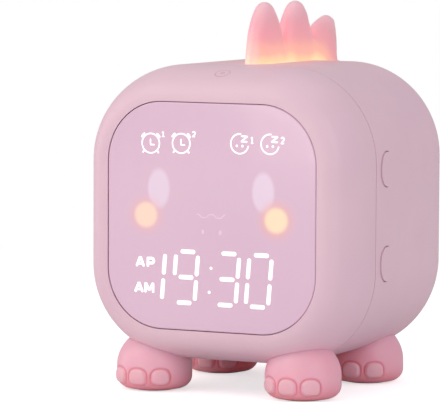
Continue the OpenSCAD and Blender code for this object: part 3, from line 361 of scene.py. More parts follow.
def build_lit_spot(tree, given):
    """Oval of light behind a lens: 1 inside, falling to 0 over the softness, as a share of it."""
    offset = put(
        tree, "VectorMath", {0: given["Place"], 1: given["Middle"]}, operation="SUBTRACT"
    ).outputs[0]
    scaled = put(
        tree, "VectorMath", {0: offset, 1: given["Half size"]}, operation="DIVIDE"
    ).outputs[0]
    away = put(tree, "VectorMath", {0: scaled}, operation="LENGTH").outputs["Value"]
    start = calculate(tree, "SUBTRACT", 1.0, given["Softness"])
    end = calculate(tree, "ADD", 1.0, given["Softness"])
    fall = put(
        tree,
        "MapRange",
        {"Value": away, "From Min": start, "From Max": end, "To Min": 1.0, "To Max": 0.0},
        interpolation_type="SMOOTHERSTEP",
    )
    return {"Mask": fall.outputs[0]}


lit_spot = shader_group(
    "lit spot",
    [
        ("Place", PLACE, None),
        ("Middle", PLACE, None),
        ("Half size", PLACE, None),
        ("Softness", NUMBER, 0.3),
    ],
    [("Mask", NUMBER)],
    build_lit_spot,
)


def new_material(name):
    """New material with a Principled shader: returns the material, its tree and the shader."""
    made = bpy.data.materials.new(name)
    made.use_nodes = True
    tree = made.node_tree
    tree.nodes.clear()
    out = tree.nodes.new("ShaderNodeOutputMaterial")
    shader = tree.nodes.new("ShaderNodeBsdfPrincipled")
    tree.links.new(shader.outputs[0], out.inputs[0])
    return made, tree, shader


# Height of the moulded grain and reach of light under the plastic's skin, in metres
SKIN_RELIEF = 0.000012
PLASTIC_GLOW_REACH, CREST_GLOW_REACH = 0.008, 0.006


def moulded(
    name,
    shade,
    other_shade,
    roughness,
    grain=2500.0,
    relief=SKIN_RELIEF,
    dust=0.1,
    subsurface=0.0,
):
    """Moulded plastic: drifting pigment, a little dust, and a fine skin in bump and roughness."""
    made, tree, shader = new_material(name)
    place = object_place(tree)
    tint = use(tree, pigment_drift, {"Place": place, "Shade": shade, "Other shade": other_shade})
    dusty = use(tree, settled_dust, {"Place": place, "Colour": tint["Colour"], "Amount": dust})
    skin = use(tree, moulded_grain, {"Place": place, "Grain": grain, "Roughness": roughness})
    bump = put(tree, "Bump", {"Height": skin["Height"], "Distance": relief, "Strength": 1.0})
    tree.links.new(dusty["Colour"], shader.inputs["Base Color"])
    tree.links.new(skin["Roughness"], shader.inputs["Roughness"])
    tree.links.new(bump.outputs[0], shader.inputs["Normal"])
    shader.inputs["Subsurface Weight"].default_value = subsurface
    shader.inputs["Subsurface Scale"].default_value = PLASTIC_GLOW_REACH
    return made


# ---------- finishes ----------

SHELL = linear(240, 205, 216)
SHELL_SHADE = linear(236, 199, 214)
FOOT = linear(255, 191, 206)
FOOT_SHADE = linear(252, 180, 197)


def shell_finish():
    """Satin pale pink of the casing and tail."""
    return moulded("satin pink shell", SHELL, SHELL_SHADE, roughness=0.42)


def button_finish():
    """The buttons' plastic: the casing's pink, a touch smoother."""
    return moulded("satin pink button", SHELL, SHELL_SHADE, roughness=0.36, grain=3200.0, dust=0.04)


# Painted shade: this red stands in for the shade that the casing and the ground throw on the feet
PAINTED_SHADE_RED = linear(255, 100, 104)
NAIL_PALE = linear(253, 198, 208)
# Painted shade in the creases round the nails
CREASE_PAINTED_SHADE = linear(226, 96, 120)
# The painted red shade fades between these levels above the ground, and between these distances
# from the clock's upright axis, in metres
PAINTED_SHADE_LEVELS = (0.0005, 0.0075)
PAINTED_SHADE_REACH = (0.02, 0.038)
PAINTED_SHADE_LOW, PAINTED_SHADE_INNER = 0.4, 0.7
NAIL_PALENESS, NAIL_PALENESS_IN_SHADE = 0.7, 0.25
CREASE_PAINTED_SHADE_SHARE = 0.6


def foot_finish():
    """Deeper pink of the feet, with a painted red shade low down and towards the clock's middle.

    Nails are paler, less so in that painted shade, and the creases round them carry painted shade."""
    made = moulded("satin pink foot", FOOT, FOOT_SHADE, roughness=0.38, dust=0.05, subsurface=0.5)
    tree = made.node_tree
    shader = next(n for n in tree.nodes if n.type == "BSDF_PRINCIPLED")
    base = shader.inputs["Base Color"].links[0].from_socket
    nail = put(tree, "Attribute", attribute_name="nail").outputs["Fac"]
    crease = put(tree, "Attribute", attribute_name="crease").outputs["Fac"]
    place = object_place(tree)
    level = put(tree, "SeparateXYZ", {"Vector": place}).outputs["Z"]
    # Painted shade: redder towards the ground and towards the clock's upright axis, under the
    # casing
    low = spread(tree, level, *PAINTED_SHADE_LEVELS, PAINTED_SHADE_LOW, 0.0)
    flat = put(tree, "VectorMath", {0: place, 1: (1.0, 1.0, 0.0)}, operation="MULTIPLY")
    away = put(tree, "VectorMath", {0: flat.outputs[0]}, operation="LENGTH").outputs["Value"]
    inner_shade = spread(tree, away, *PAINTED_SHADE_REACH, PAINTED_SHADE_INNER, 0.0)
    shaded_redder = blend_colour(tree, calculate(tree, "MAXIMUM", low, inner_shade), base, PAINTED_SHADE_RED)
    # Nails are less pale where the painted shade lies
    paleness = spread(tree, inner_shade, 0.0, 1.0, NAIL_PALENESS, NAIL_PALENESS_IN_SHADE)
    paler = blend_colour(tree, calculate(tree, "MULTIPLY", nail, paleness), shaded_redder, NAIL_PALE)
    # Painted shade: the creases round the nails are darkened
    crease_shade_share = calculate(tree, "MULTIPLY", crease, CREASE_PAINTED_SHADE_SHARE)
    crease_shaded = blend_colour(tree, crease_shade_share, paler, CREASE_PAINTED_SHADE)
    tree.links.new(crease_shaded, shader.inputs["Base Color"])
    return made


LENS_TINT, LENS_OTHER_TINT = linear(240, 204, 224), linear(236, 199, 221)
LENS_PATCHES = 14.0
# Places of the lights, from the middle of the face
EYE_X, EYE_Z = 20.2, 9.4
EYE_HALF = (4.15, 6.8)
EYE_SHADE, EYE_STRENGTH, EYE_SOFTNESS = linear(254, 232, 250), 0.8, 0.22
CHEEK_X, CHEEK_R = 25.2, 4.7
HALO_R, HALO_SOFTNESS, HALO_SHADE = CHEEK_R * 1.25, 0.6, linear(254, 194, 192)
CORE_R, CORE_SOFTNESS = CHEEK_R * 0.93, 0.3
# The right cheek shines more strongly and more yellow than the left one
HALO_STRENGTH = {-1: 0.5, 1: 0.8}
CORE_SHADE = {-1: linear(255, 224, 208), 1: linear(255, 234, 202)}
CHEEK_LIGHT, CHEEK_POWER, HALO_LIGHT = linear(255, 190, 140), 0.16, 0.2
# Half depth of a spot in metres, so deep that only its place on the face counts
SPOT_DEPTH = 1.0


def lens_finish():
    """Tinted glossy lens with the soft lights behind it: two eyes, and two cheeks with halos."""
    made, tree, shader = new_material("tinted lens")
    place = object_place(tree)
    tint = use(
        tree,
        pigment_drift,
        {
            "Place": place,
            "Shade": LENS_TINT,
            "Other shade": LENS_OTHER_TINT,
            "Patches": LENS_PATCHES,
        },
    )["Colour"]

    def spot(x, z, half_x, half_z, softness):
        return use(
            tree,
            lit_spot,
            {
                "Place": place,
                "Middle": (x * MM, FRONT_Y * MM, (FACE_Z + z) * MM),
                "Half size": (half_x * MM, SPOT_DEPTH, half_z * MM),
                "Softness": softness,
            },
        )["Mask"]

    colour = tint
    light = None
    for side in (-1, 1):
        eye = spot(side * EYE_X, EYE_Z, *EYE_HALF, EYE_SOFTNESS)
        eye_share = calculate(tree, "MULTIPLY", eye, EYE_STRENGTH)
        colour = blend_colour(tree, eye_share, colour, EYE_SHADE)
        halo = spot(side * CHEEK_X, 0.0, HALO_R, HALO_R, HALO_SOFTNESS)
        halo_share = calculate(tree, "MULTIPLY", halo, HALO_STRENGTH[side])
        colour = blend_colour(tree, halo_share, colour, HALO_SHADE)
        core = spot(side * CHEEK_X, 0.0, CORE_R, CORE_R, CORE_SOFTNESS)
        colour = blend_colour(tree, core, colour, CORE_SHADE[side])
        both = calculate(tree, "MAXIMUM", calculate(tree, "MULTIPLY", halo, HALO_LIGHT), core)
        light = both if light is None else calculate(tree, "MAXIMUM", light, both)
    scuffs = put(
        tree, "TexNoise", {"Vector": place, "Scale": 420.0, "Detail": 6.0, "Roughness": 0.75}
    )
    rough = spread(tree, scuffs.outputs["Fac"], 0.3, 0.8, 0.08, 0.2)
    glow = blend_colour(tree, light, (0.0, 0.0, 0.0, 1.0), CHEEK_LIGHT)
    tree.links.new(colour, shader.inputs["Base Color"])
    tree.links.new(rough, shader.inputs["Roughness"])
    tree.links.new(glow, shader.inputs["Emission Color"])
    shader.inputs["Emission Strength"].default_value = CHEEK_POWER
    shader.inputs["Coat Weight"].default_value = 0.3
    return made


def lit_finish(name, colour, strength, edge):
    """What shines or is printed on the lens: its colour, with a faint unevenness in its light."""
    made, tree, shader = new_material(name)
    place = object_place(tree)
    uneven = put(tree, "TexNoise", {"Vector": place, "Scale": 350.0, "Detail": 2.0})
    shade = blend_colour(tree, spread(tree, uneven.outputs["Fac"], 0.3, 0.7), colour, edge)
    tree.links.new(shade, shader.inputs["Base Color"])
    tree.links.new(shade, shader.inputs["Emission Color"])
    shader.inputs["Emission Strength"].default_value = strength
    shader.inputs["Roughness"].default_value = 0.3
    return made


# Height at which the crest's colours end, and length of its front edge's painted highlight, in
# millimetres
CREST_RAMP_TOP, CREST_HIGHLIGHT_FRONT = 24.0, 4.0
# How far the painted highlight on the front edge covers the pigment and evens the light, and its
# colours
CREST_HIGHLIGHT_SHARE, CREST_HIGHLIGHT_DIMMING = 0.75, 0.6
PAINTED_EDGE_HIGHLIGHT, PAINTED_EDGE_GLOW = linear(255, 218, 218), linear(150, 104, 92)
CREST_POWER, CREST_SUBSURFACE = 0.45, 0.35
# The strip's light chips stand this far apart; the light swells over each by a share of the height
LED_STEP, LED_SWELL = 9.5, 0.003
CLOUD_WANDER = 0.035
# Colours by share of the height: the plastic's own pink with the glow's yellow and peach painted in
# low down, and the light in it
CREST_PIGMENT_AND_PAINTED_GLOW = (
    (0.0, linear(255, 212, 180)),
    (0.2, linear(255, 194, 184)),
    (0.45, linear(255, 186, 194)),
    (1.0, linear(255, 206, 217)),
)
CREST_GLOW = (
    (0.0, linear(255, 238, 176)),
    (0.055, linear(255, 204, 134)),
    (0.17, linear(224, 146, 112)),
    (0.4, linear(166, 72, 78)),
    (0.7, linear(104, 44, 52)),
    (1.0, linear(66, 28, 34)),
)


def crest_finish():
    """Translucent crest lit from its foot: yellow-white there, then peach, then pink to the tips.

    The piece's own map holds the distance along the crest and the height above the casing. Yellow
    and peach of the glow are painted into the base colour low down, the edge over the front end
    carries a painted pale highlight, and the light swells a little over each chip of the strip."""
    made, tree, shader = new_material("glowing crest")
    chart = put(tree, "UVMap", uv_map="chart").outputs[0]
    split = put(tree, "SeparateXYZ", {"Vector": chart})
    along, height = split.outputs["X"], split.outputs["Y"]
    place = object_place(tree)
    cloud = put(tree, "TexNoise", {"Vector": place, "Scale": 75.0, "Detail": 2.0})
    wander = spread(tree, cloud.outputs["Fac"], 0.3, 0.7, -CLOUD_WANDER, CLOUD_WANDER)
    beads = calculate(tree, "SINE", calculate(tree, "MULTIPLY", along, 2 * math.pi / LED_STEP))
    swell = calculate(tree, "MULTIPLY", beads, LED_SWELL)
    share = calculate(tree, "DIVIDE", height, CREST_RAMP_TOP)
    level = calculate(tree, "ADD", calculate(tree, "ADD", share, wander), swell)
    # Painted highlight: the front end's edge is paler in colour and its glow is dimmed
    front = spread(tree, along, 0.0, CREST_HIGHLIGHT_FRONT, CREST_HIGHLIGHT_SHARE, 0.0)
    # Painted glow: the base colour turns yellow and peach towards the lit foot
    base = blend_colour(tree, front, ramp(tree, level, CREST_PIGMENT_AND_PAINTED_GLOW), PAINTED_EDGE_HIGHLIGHT)
    dimmed = calculate(tree, "MULTIPLY", front, CREST_HIGHLIGHT_DIMMING)
    light = blend_colour(tree, dimmed, ramp(tree, level, CREST_GLOW), PAINTED_EDGE_GLOW)
    skin = use(tree, moulded_grain, {"Place": place, "Grain": 1800.0, "Roughness": 0.34})
    bump = put(tree, "Bump", {"Height": skin["Height"], "Distance": SKIN_RELIEF})
    tree.links.new(base, shader.inputs["Base Color"])
    tree.links.new(light, shader.inputs["Emission Color"])
    tree.links.new(skin["Roughness"], shader.inputs["Roughness"])
    tree.links.new(bump.outputs[0], shader.inputs["Normal"])
    shader.inputs["Emission Strength"].default_value = CREST_POWER
    shader.inputs["Subsurface Weight"].default_value = CREST_SUBSURFACE
    shader.inputs["Subsurface Scale"].default_value = CREST_GLOW_REACH
    return made


def board_finish():
    """Green lacquered circuit board: squared copper runs under the lacquer, pale pads."""
    made, tree, shader = new_material("circuit board")
    place = object_place(tree)
    runs = put(
        tree, "TexBrick", {"Vector": place, "Scale": 260.0, "Mortar Size": 0.03, "Row Height": 0.4}
    )
    cells = put(tree, "TexVoronoi", {"Vector": place, "Scale": 300.0})
    pads = spread(tree, cells.outputs["Distance"], 0.12, 0.16, 1.0, 0.0)
    traced = blend_colour(tree, runs.outputs["Fac"], linear(40, 104, 68), linear(62, 134, 86))
    shade = blend_colour(tree, pads, traced, linear(196, 190, 160))
    tree.links.new(shade, shader.inputs["Base Color"])
    bump = put(tree, "Bump", {"Height": runs.outputs["Fac"], "Distance": 0.00002})
    tree.links.new(bump.outputs[0], shader.inputs["Normal"])
    shader.inputs["Roughness"].default_value = 0.32
    return made


def metal_finish(name, colour, roughness, stretch):
    """Bright metal with fine drawn lines."""
    made, tree, shader = new_material(name)
    place = object_place(tree)
    turned = put(tree, "Mapping", {"Vector": place, "Scale": stretch})
    lines = put(
        tree, "TexNoise", {"Vector": turned.outputs[0], "Scale": 1500.0, "Detail": 4.0}
    )
    stain = put(tree, "TexNoise", {"Vector": place, "Scale": 300.0, "Detail": 3.0})
    darker = tuple(c * 0.72 for c in colour[:3]) + (1.0,)
    shade = blend_colour(tree, spread(tree, stain.outputs["Fac"], 0.4, 0.8), colour, darker)
    tree.links.new(shade, shader.inputs["Base Color"])
    rough = spread(tree, lines.outputs["Fac"], 0.3, 0.7, roughness * 0.7, roughness * 1.3)
    tree.links.new(rough, shader.inputs["Roughness"])
    bump = put(tree, "Bump", {"Height": lines.outputs["Fac"], "Distance": 0.000008})
    tree.links.new(bump.outputs[0], shader.inputs["Normal"])
    shader.inputs["Metallic"].default_value = 1.0
    return made


def paper_finish():
    """Pressed paper of the speaker's cone, with its fibres."""
    made, tree, shader = new_material("speaker paper")
    place = object_place(tree)
    fibres = put(
        tree, "TexNoise", {"Vector": place, "Scale": 900.0, "Detail": 6.0, "Distortion": 1.5}
    )
    shade = blend_colour(tree, fibres.outputs["Fac"], linear(44, 43, 46), linear(82, 80, 84))
    tree.links.new(shade, shader.inputs["Base Color"])
    bump = put(tree, "Bump", {"Height": fibres.outputs["Fac"], "Distance": 0.00005})
    tree.links.new(bump.outputs[0], shader.inputs["Normal"])
    shader.inputs["Roughness"].default_value = 0.85
    return made


FINISHES = {
    "shell": shell_finish(),
    "button": button_finish(),
    "foot": foot_finish(),
    "lens": lens_finish(),
    "crest": crest_finish(),
    "board": board_finish(),
    "screw": metal_finish("zinc plated screw", linear(200, 203, 208), 0.3, (1.0, 1.0, 12.0)),
    "plated": metal_finish("plated shield", linear(206, 207, 210), 0.28, (1.0, 14.0, 1.0)),
    "copper": metal_finish("copper foil", linear(214, 144, 98), 0.34, (10.0, 1.0, 1.0)),
    "speaker_paper": paper_finish(),
    "tape": moulded("adhesive tape", linear(40, 38, 42), linear(52, 50, 55), 0.7, grain=900.0),
    "frosted": moulded("frosted plastic", linear(243, 241, 236), linear(236, 233, 228), 0.5),
    "led": moulded("light chip resin", linear(250, 240, 205), linear(243, 230, 180), 0.2),
    "black_part": moulded("black plastic", linear(42, 42, 46), linear(54, 53, 58), 0.5),
    "cream_plastic": moulded("cream nylon", linear(240, 232, 214), linear(230, 221, 200), 0.45),
    "pad": moulded(
        "soft foot pad",
        linear(218, 128, 148),
        linear(206, 114, 136),
        0.8,
        grain=1200.0,
        relief=0.00004,
    ),
    "cell_wrap": moulded("cell wrap", linear(84, 134, 198), linear(74, 120, 186), 0.25),
    "lead_white": moulded("white lead", linear(232, 232, 230), linear(220, 219, 216), 0.45),
    "lead_red": moulded("red lead", linear(196, 54, 54), linear(176, 44, 46), 0.45),
}

WHITE_LIGHT = lit_finish("white light", linear(255, 255, 255), 0.55, linear(250, 244, 252))
PALE_LIGHT = lit_finish("pale light", linear(248, 216, 234), 0.06, linear(243, 208, 229))
MARK_INK = lit_finish("printed mark", linear(226, 182, 194), 0.0, linear(220, 174, 188))

for part in frame["record"]["subparts"]:
    solid = frame["nodes"][part["node"]]
    solid.data.materials.clear()
    solid.data.materials.append(FINISHES[part["material_slot"]])


# ---------- shapes shared by the pieces ----------

CORNER_POINTS = 24


def rounded_outline(width, height, radius):
    """Rounded rectangle in the front view, anticlockwise: four quarter circles joined straight."""
    quarter = np.linspace(0, np.pi / 2, CORNER_POINTS)
    turns = np.concatenate([quarter + k * np.pi / 2 for k in range(4)])
    side_x = np.repeat([1, -1, -1, 1], CORNER_POINTS) * (width / 2 - radius)
    side_z = np.repeat([1, 1, -1, -1], CORNER_POINTS) * (height / 2 - radius)
    return np.stack([side_x + radius * np.cos(turns), side_z + radius * np.sin(turns)], axis=-1)


def casing_reach(depth):
    """How far the casing reaches from its corners' axes at a depth behind the front.

    A tight arc at the front edge, a wide arc, the straight walls, and the rear edge's arc."""
    v = np.clip(depth, 0, BODY_DEPTH)
    lean = (FRONT_EDGE_R - FRONT_ROUND_DEPTH) / (CORNER_R - FRONT_EDGE_R)
    blend_v = FRONT_EDGE_R + lean * FRONT_EDGE_R
    tight = EDGE_U + np.sqrt(np.maximum(FRONT_EDGE_R**2 - (v - FRONT_EDGE_R) ** 2, 0))
    wide = np.sqrt(np.maximum(CORNER_R**2 - (FRONT_ROUND_DEPTH - v) ** 2, 0))
    rear_start = BODY_DEPTH - REAR_EDGE_R
    rear = CORNER_R - REAR_EDGE_R + np.sqrt(np.maximum(REAR_EDGE_R**2 - (v - rear_start) ** 2, 0))
    reach = np.where(v < blend_v, tight, np.where(v < FRONT_ROUND_DEPTH, wide, CORNER_R))
    return np.where(v > rear_start, rear, reach)


# ---------- front lens and what shines through it ----------

# Depth of the lens's face behind the bezel's front, and radius of its rounded edge
LENS_FACE_DEPTH = 0.07
LENS_EDGE_R = 0.5
# Rings of points on the lens's flat back and face, counted inwards from its outline
LENS_BACK_RING = 8.0
LENS_FACE_RINGS = (4.0, 12.0)
# Half thickness of a mark, and how far its middle stands before the lens's face
MARK_RELIEF = 0.05
MARK_LIFT = 0.005
MARK_Y = FRONT_Y + LENS_FACE_DEPTH - MARK_LIFT
STROKE_STEP, STROKE_SIDES = 0.18, 10


def lens_piece():
    """Front lens: a profile carried round its outline.

    The profile has a flat back, a straight side, a rounded edge and a flat face."""
    turns = np.linspace(0, np.pi / 2, 7)
    edge_in = LENS_EDGE_R * (1 - np.cos(turns))
    edge_deep = LENS_FACE_DEPTH + LENS_EDGE_R * (1 - np.sin(turns))
    inset = np.concatenate([[LENS_BACK_RING, 0.0], edge_in, LENS_FACE_RINGS])
    depth = np.concatenate([[LENS_THICKNESS] * 2, edge_deep, [LENS_FACE_DEPTH] * 2])
    rings = [
        rounded_outline(LENS_WIDTH - 2 * i, LENS_HEIGHT - 2 * i, LENS_CORNER_R - i) for i in inset
    ]
    # A ring of no size closes the back and the face in their middles
    rings = [rings[0] * 0] + rings + [rings[-1] * 0]
    depth = np.concatenate([depth[:1], depth, depth[-1:]])
    flat = np.array(rings)
    grid = np.stack(
        [
            flat[..., 0],
            np.broadcast_to(FRONT_Y + depth[:, None], flat.shape[:2]),
            FACE_Z + flat[..., 1],
        ],
        axis=-1,
    )
    piece = Pile().add(grid, wrap_columns=True).make(
        "front_lens", FINISHES["lens"], "clock", "lens"
    )
    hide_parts("face_lens")
    return piece


def across_line(line, closed):
    """Unit vectors to the left of a line of points in a plane."""
    if closed:
        ahead = np.roll(line, -1, axis=0) - np.roll(line, 1, axis=0)
    else:
        ahead = np.gradient(line, axis=0)
    ahead /= np.linalg.norm(ahead, axis=1, keepdims=True)
    return np.stack([-ahead[:, 1], ahead[:, 0]], axis=-1)


def mark_stroke(pile, path, width, closed=False):
    """Stroke on the lens: a flat oval section carried along a path of points in the front view.

    Unless the path is closed, the section narrows to a round end on both sides."""
    path = np.asarray(path, float)
    if closed:
        path = np.concatenate([path, path[:1]])
    lengths = np.linalg.norm(np.diff(path, axis=0), axis=1)
    far = np.concatenate([[0], np.cumsum(lengths)])
    total = far[-1]
    if closed:
        spots = np.linspace(0, total, int(total / STROKE_STEP), endpoint=False)
        share = np.ones(len(spots))
    else:
        tip = np.linspace(0, 1, 6) ** 2 * min(width / 2, total / 2)
        middle = np.linspace(tip[-1], total - tip[-1], max(2, int(total / STROKE_STEP)))[1:-1]
        spots = np.concatenate([tip, middle, total - tip[::-1]])
        near = np.clip(np.minimum(spots, total - spots) / (width / 2), 0, 1)
        share = np.sqrt(1 - (1 - near) ** 2)
    line = np.stack([np.interp(spots, far, path[:, k]) for k in (0, 1)], axis=-1)
    ring = np.linspace(0, 2 * np.pi, STROKE_SIDES, endpoint=False)
    sideways = (share * width / 2)[:, None] * np.cos(ring)
    lift = (np.sqrt(share) * MARK_RELIEF)[:, None] * np.sin(ring)
    flat = line[:, None, :] + across_line(line, closed)[:, None, :] * sideways[..., None]
    grid = np.stack([flat[..., 0], MARK_Y - lift, FACE_Z + flat[..., 1]], axis=-1)
    pile.add(grid, wrap_rows=closed, wrap_columns=True)


def mark_dot(pile, x, z, half_x, half_z):
    """Lit dot on the lens: a flat ball, by the angle round it and the angle of its rise."""
    rise = np.linspace(-np.pi / 2, np.pi / 2, 9)[:, None]
    turn = np.linspace(0, 2 * np.pi, 24, endpoint=False)[None, :]
    grid = np.stack(
        [
            x + half_x * np.cos(rise) * np.cos(turn),
            MARK_Y - MARK_RELIEF * np.sin(rise) + 0 * turn,
            FACE_Z + z + half_z * np.cos(rise) * np.sin(turn),
        ],
        axis=-1,
    )
    pile.add(grid, wrap_columns=True)


def arc_points(middle, radius, start, end, count=28):
    """Points on an arc, in degrees anticlockwise from the right."""
    turns = np.radians(np.linspace(start, end, count))
    across, up = middle[0] + radius * np.cos(turns), middle[1] + radius * np.sin(turns)
    return np.stack([across, up], axis=-1)


# Places on the lens are counted from the middle of the face
DIGIT_LEAN = math.tan(math.radians(4.6))
DIGIT_MIDDLES = (-22.5, -9.67, 6.25, 18.7)
DIGIT_Z = -21.2
DIGIT_HEIGHT = 17.9
DIGIT_WIDTH = 8.55
SEGMENT_WIDTH = 1.6
# Gaps at the ends of level and upright bars, and small shifts of the level and the upper bars
LEVEL_GAP, UPRIGHT_GAP = 1.4, 0.85
LEVEL_SHIFT, UPPER_DROP = 0.25, 0.35
COLON_LEVELS = (-17.6, -26.0)
COLON_R = 0.55
# Ends of each bar, in half widths and quarter heights from a digit's middle
SEGMENTS = {
    "top": ((-1, 2), (1, 2)),
    "middle": ((-1, 0), (1, 0)),
    "bottom": ((-1, -2), (1, -2)),
    "upper left": ((-1, 2), (-1, 0)),
    "upper right": ((1, 2), (1, 0)),
    "lower left": ((-1, 0), (-1, -2)),
    "lower right": ((1, 0), (1, -2)),
}
LIT_SEGMENTS = {
    1: ("upper right", "lower right"),
    9: ("top", "middle", "bottom", "upper left", "upper right", "lower right"),
    3: ("top", "middle", "bottom", "upper right", "lower right"),
    0: ("top", "bottom", "upper left", "upper right", "lower left", "lower right"),
}
TIME_SHOWN = (1, 9, 3, 0)


def lean(points):
    """Slants points round the digits' middle height."""
    points = np.asarray(points, float)
    points[:, 0] += (points[:, 1] - DIGIT_Z) * DIGIT_LEAN
    return points


def lit_time():
    """The time in leaning seven-segment digits, and the colon's two dots."""
    pile = Pile()
    for middle, digit in zip(DIGIT_MIDDLES, TIME_SHOWN):
        for name in LIT_SEGMENTS[digit]:
            ends = np.array(SEGMENTS[name], float)
            ends *= (DIGIT_WIDTH / 2, DIGIT_HEIGHT / 4)
            along = ends[1] - ends[0]
            along /= np.linalg.norm(along)
            lies = along[1] == 0
            ends += np.array([along, -along]) * (LEVEL_GAP if lies else UPRIGHT_GAP)
            ends[:, 0] += LEVEL_SHIFT if lies else 0
            ends[:, 1] -= UPPER_DROP if name.startswith("upper") else 0
            mark_stroke(pile, lean(ends + (middle, DIGIT_Z)), SEGMENT_WIDTH)
    for z in COLON_LEVELS:
        mark_dot(pile, (z - DIGIT_Z) * DIGIT_LEAN, z, COLON_R, COLON_R)
    return pile.make("lit_time", WHITE_LIGHT, "clock", "led")


LETTER_TALL, LETTER_WIDE, LETTER_PEN = 3.6, 3.0, 1.0
UPPER_WORD, LOWER_WORD = (-28.9, -18.3), (-29.4, -27.35)


def lit_letters():
    """The two half-day words, in bold strokes."""
    pile = Pile()
    tall, wide, pen = LETTER_TALL, LETTER_WIDE, LETTER_PEN
    bar_z, bar_in, bar_pen, notch_z = 1.05, 0.6, 0.8, 0.8
    bowl_x, bowl_r = 1.5, 0.85
    p_step, m_step = 4.5, 4.1

    def letter_a(x, z):
        mark_stroke(pile, [(x, z), (x + wide / 2, z + tall)], pen)
        mark_stroke(pile, [(x + wide, z), (x + wide / 2, z + tall)], pen)
        mark_stroke(pile, [(x + bar_in, z + bar_z), (x + wide - bar_in, z + bar_z)], bar_pen)

    def letter_p(x, z):
        top = z + tall - pen / 2
        bowl = arc_points((x + bowl_x, top - bowl_r), bowl_r, 90, -90)
        loop = np.concatenate([[(x, top)], bowl, [(x, top - 2 * bowl_r)]])
        mark_stroke(pile, [(x, z), (x, z + tall)], pen)
        mark_stroke(pile, loop, pen)

    def letter_m(x, z):
        mark_stroke(pile, [(x, z), (x, z + tall)], pen)
        mark_stroke(pile, [(x + wide, z), (x + wide, z + tall)], pen)
        mark_stroke(pile, [(x, z + tall), (x + wide / 2, z + notch_z)], pen)
        mark_stroke(pile, [(x + wide, z + tall), (x + wide / 2, z + notch_z)], pen)

    letter_a(*UPPER_WORD)
    letter_p(UPPER_WORD[0] + p_step, UPPER_WORD[1])
    letter_a(*LOWER_WORD)
    letter_m(LOWER_WORD[0] + m_step, LOWER_WORD[1])
    return pile.make("lit_letters", WHITE_LIGHT, "clock", "led")


SIGN_PEN, SIGN_RING_R = 0.52, 3.4
ALARM_MIDDLES = ((-23.4, 25.1), (-11.5, 25.4))
ALARM_FIGURE_TALL, ALARM_FIGURE_PEN = 1.7, 0.42
BELL_R, BELL_START, BELL_SPAN, BELL_PEN = 4.15, 33, 28, SIGN_PEN * 1.4
CLOCK_FOOT_IN, CLOCK_FOOT_OUT, CLOCK_FOOT_PEN = (2.4, 2.4), (3.2, 3.4), SIGN_PEN * 1.2
SNOOZE_MIDDLES = ((11.1, 26.0), (22.7, 26.2))
SNOOZE_FIGURE_TALL = 2.1
SLEEPY_EYE_X, SLEEPY_EYE_Z, SLEEPY_EYE_R = 1.08, 0.74, 0.45
# Left, right, lower and upper limits of the letter in a sleeping face's ring, from its middle
SLEEPY_LETTER = (0.55, 3.0, 0.8, 2.65)


def small_one(pile, x, z, tall, pen):
    """A small figure one, its foot at x, z."""
    half = 0.5
    mark_stroke(pile, [(x - half, z + tall - half), (x, z + tall)], pen)
    mark_stroke(pile, [(x, z), (x, z + tall)], pen)
    mark_stroke(pile, [(x - half, z), (x + half, z)], pen)


def small_two(pile, x, z, tall, pen):
    """A small figure two, its middle at x and its foot at z."""
    half = 0.55
    bow = arc_points((x, z + tall - half), half, 170, -40, 14)
    mark_stroke(pile, np.concatenate([bow, [(x - half, z), (x + half, z)]]), pen)


def alarm_marks():
    """Two small alarm clocks: ring, bells, feet and hands, with their numbers."""
    pile = Pile()
    (in_x, in_z), (out_x, out_z) = CLOCK_FOOT_IN, CLOCK_FOOT_OUT
    hands_x, hands_z, hand_long = -0.1, -0.5, 1.6
    figure_x, figure_z = 4.9, 2.5
    for (x, z), figure in zip(ALARM_MIDDLES, (small_one, small_two)):
        ring = arc_points((x, z), SIGN_RING_R, 0, 360, 60)[:-1]
        mark_stroke(pile, ring, SIGN_PEN, closed=True)
        for side in (-1, 1):
            start = 90 - side * BELL_START
            bell = arc_points((x, z), BELL_R, start, start - side * BELL_SPAN)
            mark_stroke(pile, bell, BELL_PEN)
            foot = [(x + side * in_x, z - in_z), (x + side * out_x, z - out_z)]
            mark_stroke(pile, foot, CLOCK_FOOT_PEN)
        hands = [
            (x + hands_x, z + hand_long),
            (x + hands_x, z + hands_z),
            (x + hand_long, z + hands_z),
        ]
        mark_stroke(pile, hands, SIGN_PEN)
        figure(pile, x + figure_x, z + figure_z, ALARM_FIGURE_TALL, ALARM_FIGURE_PEN)
    return pile.make("alarm_marks", WHITE_LIGHT, "clock", "led")


def snooze_marks():
    """Two small sleeping faces: an open ring, two eyes and a letter, with their numbers."""
    pile = Pile()
    ring_start, ring_end = 80, 350
    letter_pen = SIGN_PEN * 1.1
    figure_x, figure_z = 4.8, 0.4
    for (x, z), figure in zip(SNOOZE_MIDDLES, (small_one, small_two)):
        mark_stroke(pile, arc_points((x, z), SIGN_RING_R, ring_start, ring_end, 60), SIGN_PEN)
        for side in (-1, 1):
            eye_x, eye_z = x + side * SLEEPY_EYE_X, z - SLEEPY_EYE_Z
            mark_dot(pile, eye_x, eye_z, SLEEPY_EYE_R, SLEEPY_EYE_R)
        left, right, low, high = np.array([x, x, z, z]) + SLEEPY_LETTER
        mark_stroke(pile, [(left, high), (right, high), (left, low), (right, low)], letter_pen)
        figure(pile, x + figure_x, z + figure_z, SNOOZE_FIGURE_TALL, SIGN_PEN)
    return pile.make("snooze_marks", WHITE_LIGHT, "clock", "led")


MOUTH_START, MOUTH_END, MOUTH_WAVE_LENGTH = -5.4, 6.0, 5.7
MOUTH_Z, MOUTH_RISE, MOUTH_SQUARENESS, MOUTH_PEN = 0.45, 0.65, 1.6, 0.5
NOSTRIL_PLACES, NOSTRIL_Z, NOSTRIL_HALF = (-2.9, 3.8), -5.1, (0.62, 0.95)


